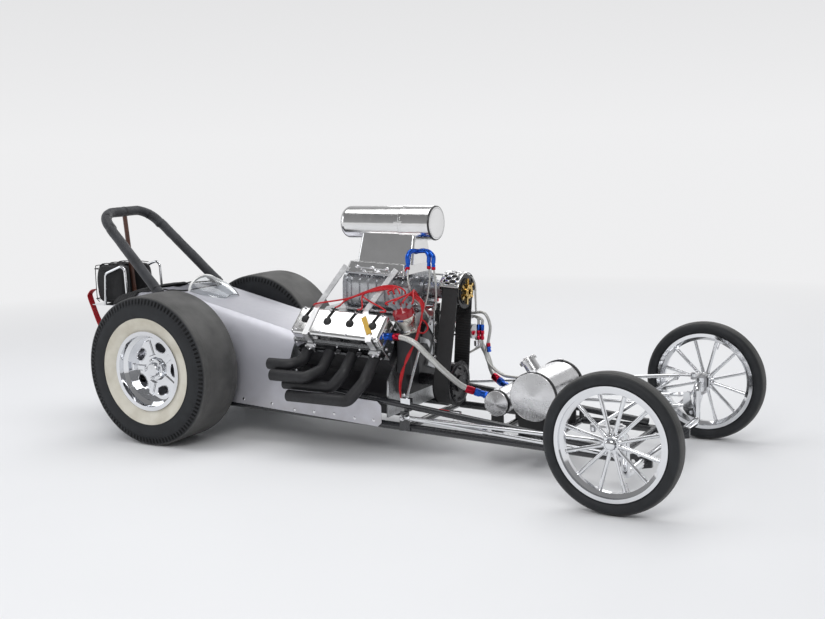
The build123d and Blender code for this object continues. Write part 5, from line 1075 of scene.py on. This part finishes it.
def strap_hardware():
    """Clamp bolts of the blower straps, and the yellow tag on one of them."""
    nuts, patch = Shape(), Shape()
    for side in (-1, 1):
        across, out = bank_across(side), bank_out(side)
        for x in (-157, 211):
            centre = bank(x, 338, 97.6, side)
            for way in (AHEAD, ASTERN):
                nuts.bolt(centre + way * 0.022, way, 8, 9)
            nuts.acorn(centre + across * 0.012, across, 7)
            nuts.lathe([(5, 0), (5, 34), (3.6, 35)], facing(centre - out * 0.012, -out), 12)
    nuts.piece("strap_hardware", nut_metal, "strap_steel")
    start, end, out = bank(122, 430.6, -52), bank(211, 430.6, 62), bank_out()
    aside = (end - start).normalized().cross(out)
    rows = []
    for step in range(13):
        share = step / 12
        spot = start.lerp(end, 0.06 + 0.82 * share) + out * (0.0004 * math.sin(share * 9))
        rows.append([spot + aside * w * MM for w in (-13, -12, 0, 12, 13)])
    patch.sheet(rows)
    thicken(patch.piece("yellow_tag", yellow_patch, "strap_steel"), 0.0012)


def chassis_hardware():
    """Nuts of the axle, rods, knuckles and plates, and the fuel valve by the right rail."""
    nuts, valve, lever = Shape(), Shape(), Shape()
    for name, side in (("right", -1), ("left", 1)):
        for z in (200, 255):
            nuts.acorn(car(2488, side * 517.3, z), (0, side, 0), 8)
            ahead = Vector((1143, side * 186.5, z - 212)).normalized()
            nuts.lathe([(12.5, 0), (12.5, 13), (10, 14.5)], facing(car(2488, side * 498, z) - ahead * 0.045, ahead), 6)
        nuts.acorn(car(1345, side * 330.3, 212), (0, side, 0), 8)
        nuts.lathe([(12, 0), (12, 12), (10, 13)], facing(car(1380, side * 317, 212.6), (0.987, side * 0.16, 0)), 6)
        arm = Shape()
        arm.bolt(car(WHEELBASE, side * 565, 347.5), (0, 0, 1), 9, 7)
        arm.bolt(car(WHEELBASE, side * 565, 246.5), (0, 0, -1), 9, 7)
        arm.lathe([(11, 0), (11, 14), (9, 15)], facing(car(2410, side * 530, 323), (0, side, 0)), 6)
        arm.piece(f"knuckle_nuts_{name}", nut_metal, "steering_steel", f"knuckle_{name}")
        for x, z in ((0, 430), (38, 350), (-38, 350)):
            nuts.bolt(car(x, side * 278.4, z), (0, side, 0), 7, 6)
        for x, z in ((2455, 124), (2510, 150)):
            nuts.bolt(car(x, side * 281.4, z), (0, side, 0), 7, 6)
        nuts.acorn(car(1332, side * 273, 313), (0, side, 0.2), 6)
    nuts.piece("chassis_hardware", nut_metal, "bright_chrome")

    for x in (1590, 1616):
        valve.pipe(line((x, -268, 186), (x + 10, -270, 226), (x + 22, -272, 250)), 3.6, 8, 4)
        valve.acorn(car(x, -268, 184), (0, -1, 0), 7)
    valve.block((52, 24, 20), at(car(1605, -262, 246)), 3)
    valve.lathe([(9, 0), (9, 30), (7, 31)], facing(car(1575, -262, 246), (-1, 0, 0)), 6)
    valve.piece("fuel_valve", nut_metal, "bright_chrome")
    lever.block((66, 13, 8), at(car(1548, -262, 252)) @ Matrix.Rotation(0.1, 4, "Y"), 3)
    lever.piece("valve_lever", wire_red, "bright_chrome")


def panel_fasteners():
    """Flush quarter-turn buttons along the panel edges, and a soft edge round the cockpit."""
    buttons, edge = Shape(), Shape()
    spots = [(x, 188 if x < 1000 else 178) for x in (700, 820, 940, 1060, 1170)]
    spots += [(x, 252 - (x + 330) / 1523 * 78) for x in (560, 380, 200, 20, -160, -340)]
    for side in (-1, 1):
        for x, z in spots:
            buttons.lathe([(8, -0.6), (8, 0.5), (6.5, 1.3), (1, 1.5)],
                          facing(car(x, side * FLANK_Y, z), (0, side, 0)), 18)
    buttons.piece("panel_buttons", nut_metal, "body_silver")
    rim = []
    for step in range(49):
        angle = 2 * math.pi * step / 48
        across, along = (math.copysign(abs(c) ** 0.55, c) for c in (math.sin(angle), math.cos(angle)))
        x, y = -297.5 + 202.5 * along, 205 * across
        rim.append(car(x, y, deck_top(x) + 8 - deck_drop(min(abs(y), 190)) - (6 if abs(y) > 190 else 0)))
    edge.pipe(rim, 4, 10, 1)
    edge.piece("cockpit_edge", black_rubber, "body_silver")


def tank_details():
    """Rolled rings on the tanks' ends, the filler cap's grip and the bands' clamps."""
    rings, clamps = Shape(), Shape()
    tanks = ((TANK_X, TANK_Z, 113, 174), (SMALL_TANK_X, SMALL_TANK_Z, 60, 149))
    for side in (-1, 1):
        for x, z, radius, y in tanks:
            rings.band([(radius - 1, -1.5), (radius + 1.6, 0), (radius - 1, 2.2)],
                       facing(car(x, side * y, z), (0, side, 0)), 64)
    slope = math.radians(36)
    lean = Vector((-math.sin(slope), 0, math.cos(slope)))
    neck = facing(car(TANK_X, 0, TANK_Z) + lean * 0.158, lean)
    for turn in turns(neck, 24):
        rings.block((3, 3, 14), turn @ shift(42, 0, 9), 0.8)
    rings.lathe([(41, 17.6), (38, 20.5), (12, 21.2), (2, 21.3)], neck, 40)
    rings.block((70, 9, 9), neck @ shift(0, 0, 23), 3)
    rings.piece("tank_rings", polished, "spun_aluminium")
    for side in (-1, 1):
        for x, z, radius, y in tanks:
            top = car(x, side * (y - 14), z + radius + 5.5)
            clamps.block((26, 12, 9), at(top), 2)
            clamps.bolt(top + mm(12, 0, 0), (1, 0, 0), 4.5, 5)
    clamps.piece("band_clamps", nut_metal, "band_black")


def scoop_details():
    """The scoop's cap rim and latches, its dark face, and the throttle shafts with their links."""
    cap, face, shafts = Shape(), Shape(), Shape()
    place = facing(car(1209, 0, 1120), (1, 0, 0))
    cap.band([(84.6, 2), (86.4, 4), (86.4, 14), (84.6, 16)], place, 64)
    for side in (-1, 1):
        cap.block((46, 5, 14), at(car(1214, side * 87, 1126)), 2)
        cap.bolt(car(1196, side * 83.5, 1126), (0, side, 0), 4, 4)
    cap.piece("scoop_latches", polished, "polished_aluminium")
    face.lathe([(84, 166), (86, 170), (84, 175), (72, 178.2), (70, 176.5), (60, 176), (2, 176)], place, 64)
    face.piece("scoop_face", black_plastic, "polished_aluminium")
    for side in (-1, 1):
        for x in (25, 110, 195):
            shafts.lathe([(9, 0), (9, 10), (6, 12), (6, 17), (2, 18)],
                         facing(eng(x, side * 158, 566), direction(0, side, 0)), 16)
        shafts.pipe([eng(18, side * 172, 566), eng(195, side * 172, 560)], 3, 8, 1)
    shafts.piece("throttle_shafts", nut_metal, "polished_aluminium")


# Stage, lights and camera


def stage():
    """A wide pale floor that fades to the wall's white with distance."""
    mesh = bpy.data.meshes.new("floor")
    reach = 60.0
    corners = [(-reach, -reach, 0), (reach, -reach, 0), (reach, reach, 0), (-reach, reach, 0)]
    mesh.from_pydata(corners, [], [(0, 1, 2, 3)])
    floor = add("floor", mesh)
    look = Look("floor_paper", 0.9)
    look.color(look.cloud(look.noise(0.6, 3.0), (0.8, 0.8, 0.8), (0.82, 0.82, 0.82)))
    far = look.spread(look.length(look.axis(0), look.axis(1)), 0.0, 1.0, 2.6, 7.0)
    glow = look.node("Emission", Color=(WHITE, WHITE, WHITE * 1.01, 1))
    share = look.math("MULTIPLY", far, look.seen_by_camera())
    surface = look.blend(share, look.shader.outputs[0], glow.outputs[0])
    look.put(look.tree.nodes["Material Output"].inputs["Surface"], surface)
    mesh.materials.append(look.material)


def world():
    """An even light, with a plain pale wall that the camera, metal and glass see."""
    made = bpy.data.worlds.new("studio")
    bpy.context.scene.world = made
    made.use_nodes = True
    net = Nodes(made.node_tree)
    light = net.tree.nodes["Background"]
    net.put(light.inputs["Color"], (0.93, 0.95, 1.0, 1))
    net.put(light.inputs["Strength"], 0.55)
    way = net.node("SeparateXYZ", Vector=net.node("TexCoord").outputs["Generated"]).outputs
    # From the wall's foot to its top, and white only straight overhead
    dark, pale = (net.ramp(way[2], [(0.0, (foot, foot, foot * 1.01)), (1.0, (0.2, 0.2, 0.202)), (1.0, (1, 1, 1))])
                  for foot in (0.3, WHITE))
    behind = net.spread(way[1], 0.0, 1.0, -0.1, 0.3)
    plain = net.math("MAXIMUM", behind, net.node("LightPath").outputs["Is Camera Ray"])
    wall = net.node("Background", Color=net.mix(plain, dark, pale))
    surface = net.blend(net.seen_by_camera(), light.outputs[0], wall.outputs[0])
    net.put(net.tree.nodes["World Output"].inputs["Surface"], surface)


def lamp(name, spot, target, size, power, tint=(1, 1, 1)):
    data = bpy.data.lights.new(name, "AREA")
    data.shape = "RECTANGLE"
    data.size, data.size_y = size
    data.energy = power
    data.color = tint
    made = add(name, data)
    made.location = spot
    made.rotation_euler = (Vector(target) - Vector(spot)).to_track_quat("-Z", "Y").to_euler()


def camera():
    """The photograph's view, solved from both wheels that it shows."""
    yaw, pitch, roll = 0.521954, 0.146632, -0.0281725
    focal_px, width_px, sensor = 1186.537, 825, 36
    back = Vector((math.sin(yaw) * math.cos(pitch), -math.cos(yaw) * math.cos(pitch), math.sin(pitch)))
    right = Vector((math.cos(yaw), math.sin(yaw), 0))
    up = back.cross(right)
    right_rolled = right * math.cos(roll) + up * math.sin(roll)
    up_rolled = up * math.cos(roll) - right * math.sin(roll)
    data = bpy.data.cameras.new("camera")
    data.sensor_width = sensor
    data.lens = sensor * focal_px / width_px
    made = add("camera", data)
    turn = Matrix((right_rolled, up_rolled, back)).transposed().to_4x4()
    made.matrix_world = at(car(4164.49, -5092.71, 1552.76)) @ turn
    bpy.context.scene.camera = made


for side, sign in (("left", 1), ("right", -1)):
    front_wheel_details(side, sign)
    rear_wheel_details(side, sign)
hoop_padding()
tail_pad()
parachute_bag()
parachute_trim()
cushion("seat_pad", car(-312, 0, 250), (76, 160, 17), -1.5)
cushion("back_pad", car(-468, 0, 452), (150, 158, 14), 103)
steering_trim()
magneto_dress()
plug_boots_and_wires()
engine_fasteners()
blower_nose()
belt_teeth()
pulley_dress()
guard_lattice()
hoses()
wiring()
strap_hardware()
chassis_hardware()
panel_fasteners()
tank_details()
scoop_details()

stage()
world()
lamp("key", (2.5, -5.5, 4.8), (0, 0, 0.4), (3.5, 2.5), 150)
lamp("top", (-0.5, 0.5, 5.2), (0, 0, 0.3), (6.0, 3.0), 125)
lamp("fill", (-5.5, -2.5, 2.6), (0, 0, 0.4), (3.0, 3.0), 50, (0.95, 0.97, 1.0))
lamp("rim", (-1.0, 6.0, 3.5), (0, 0, 0.5), (5.0, 2.0), 70)
camera()
bpy.context.scene.view_settings.view_transform = "Standard"

bpy.context.view_layer.update()
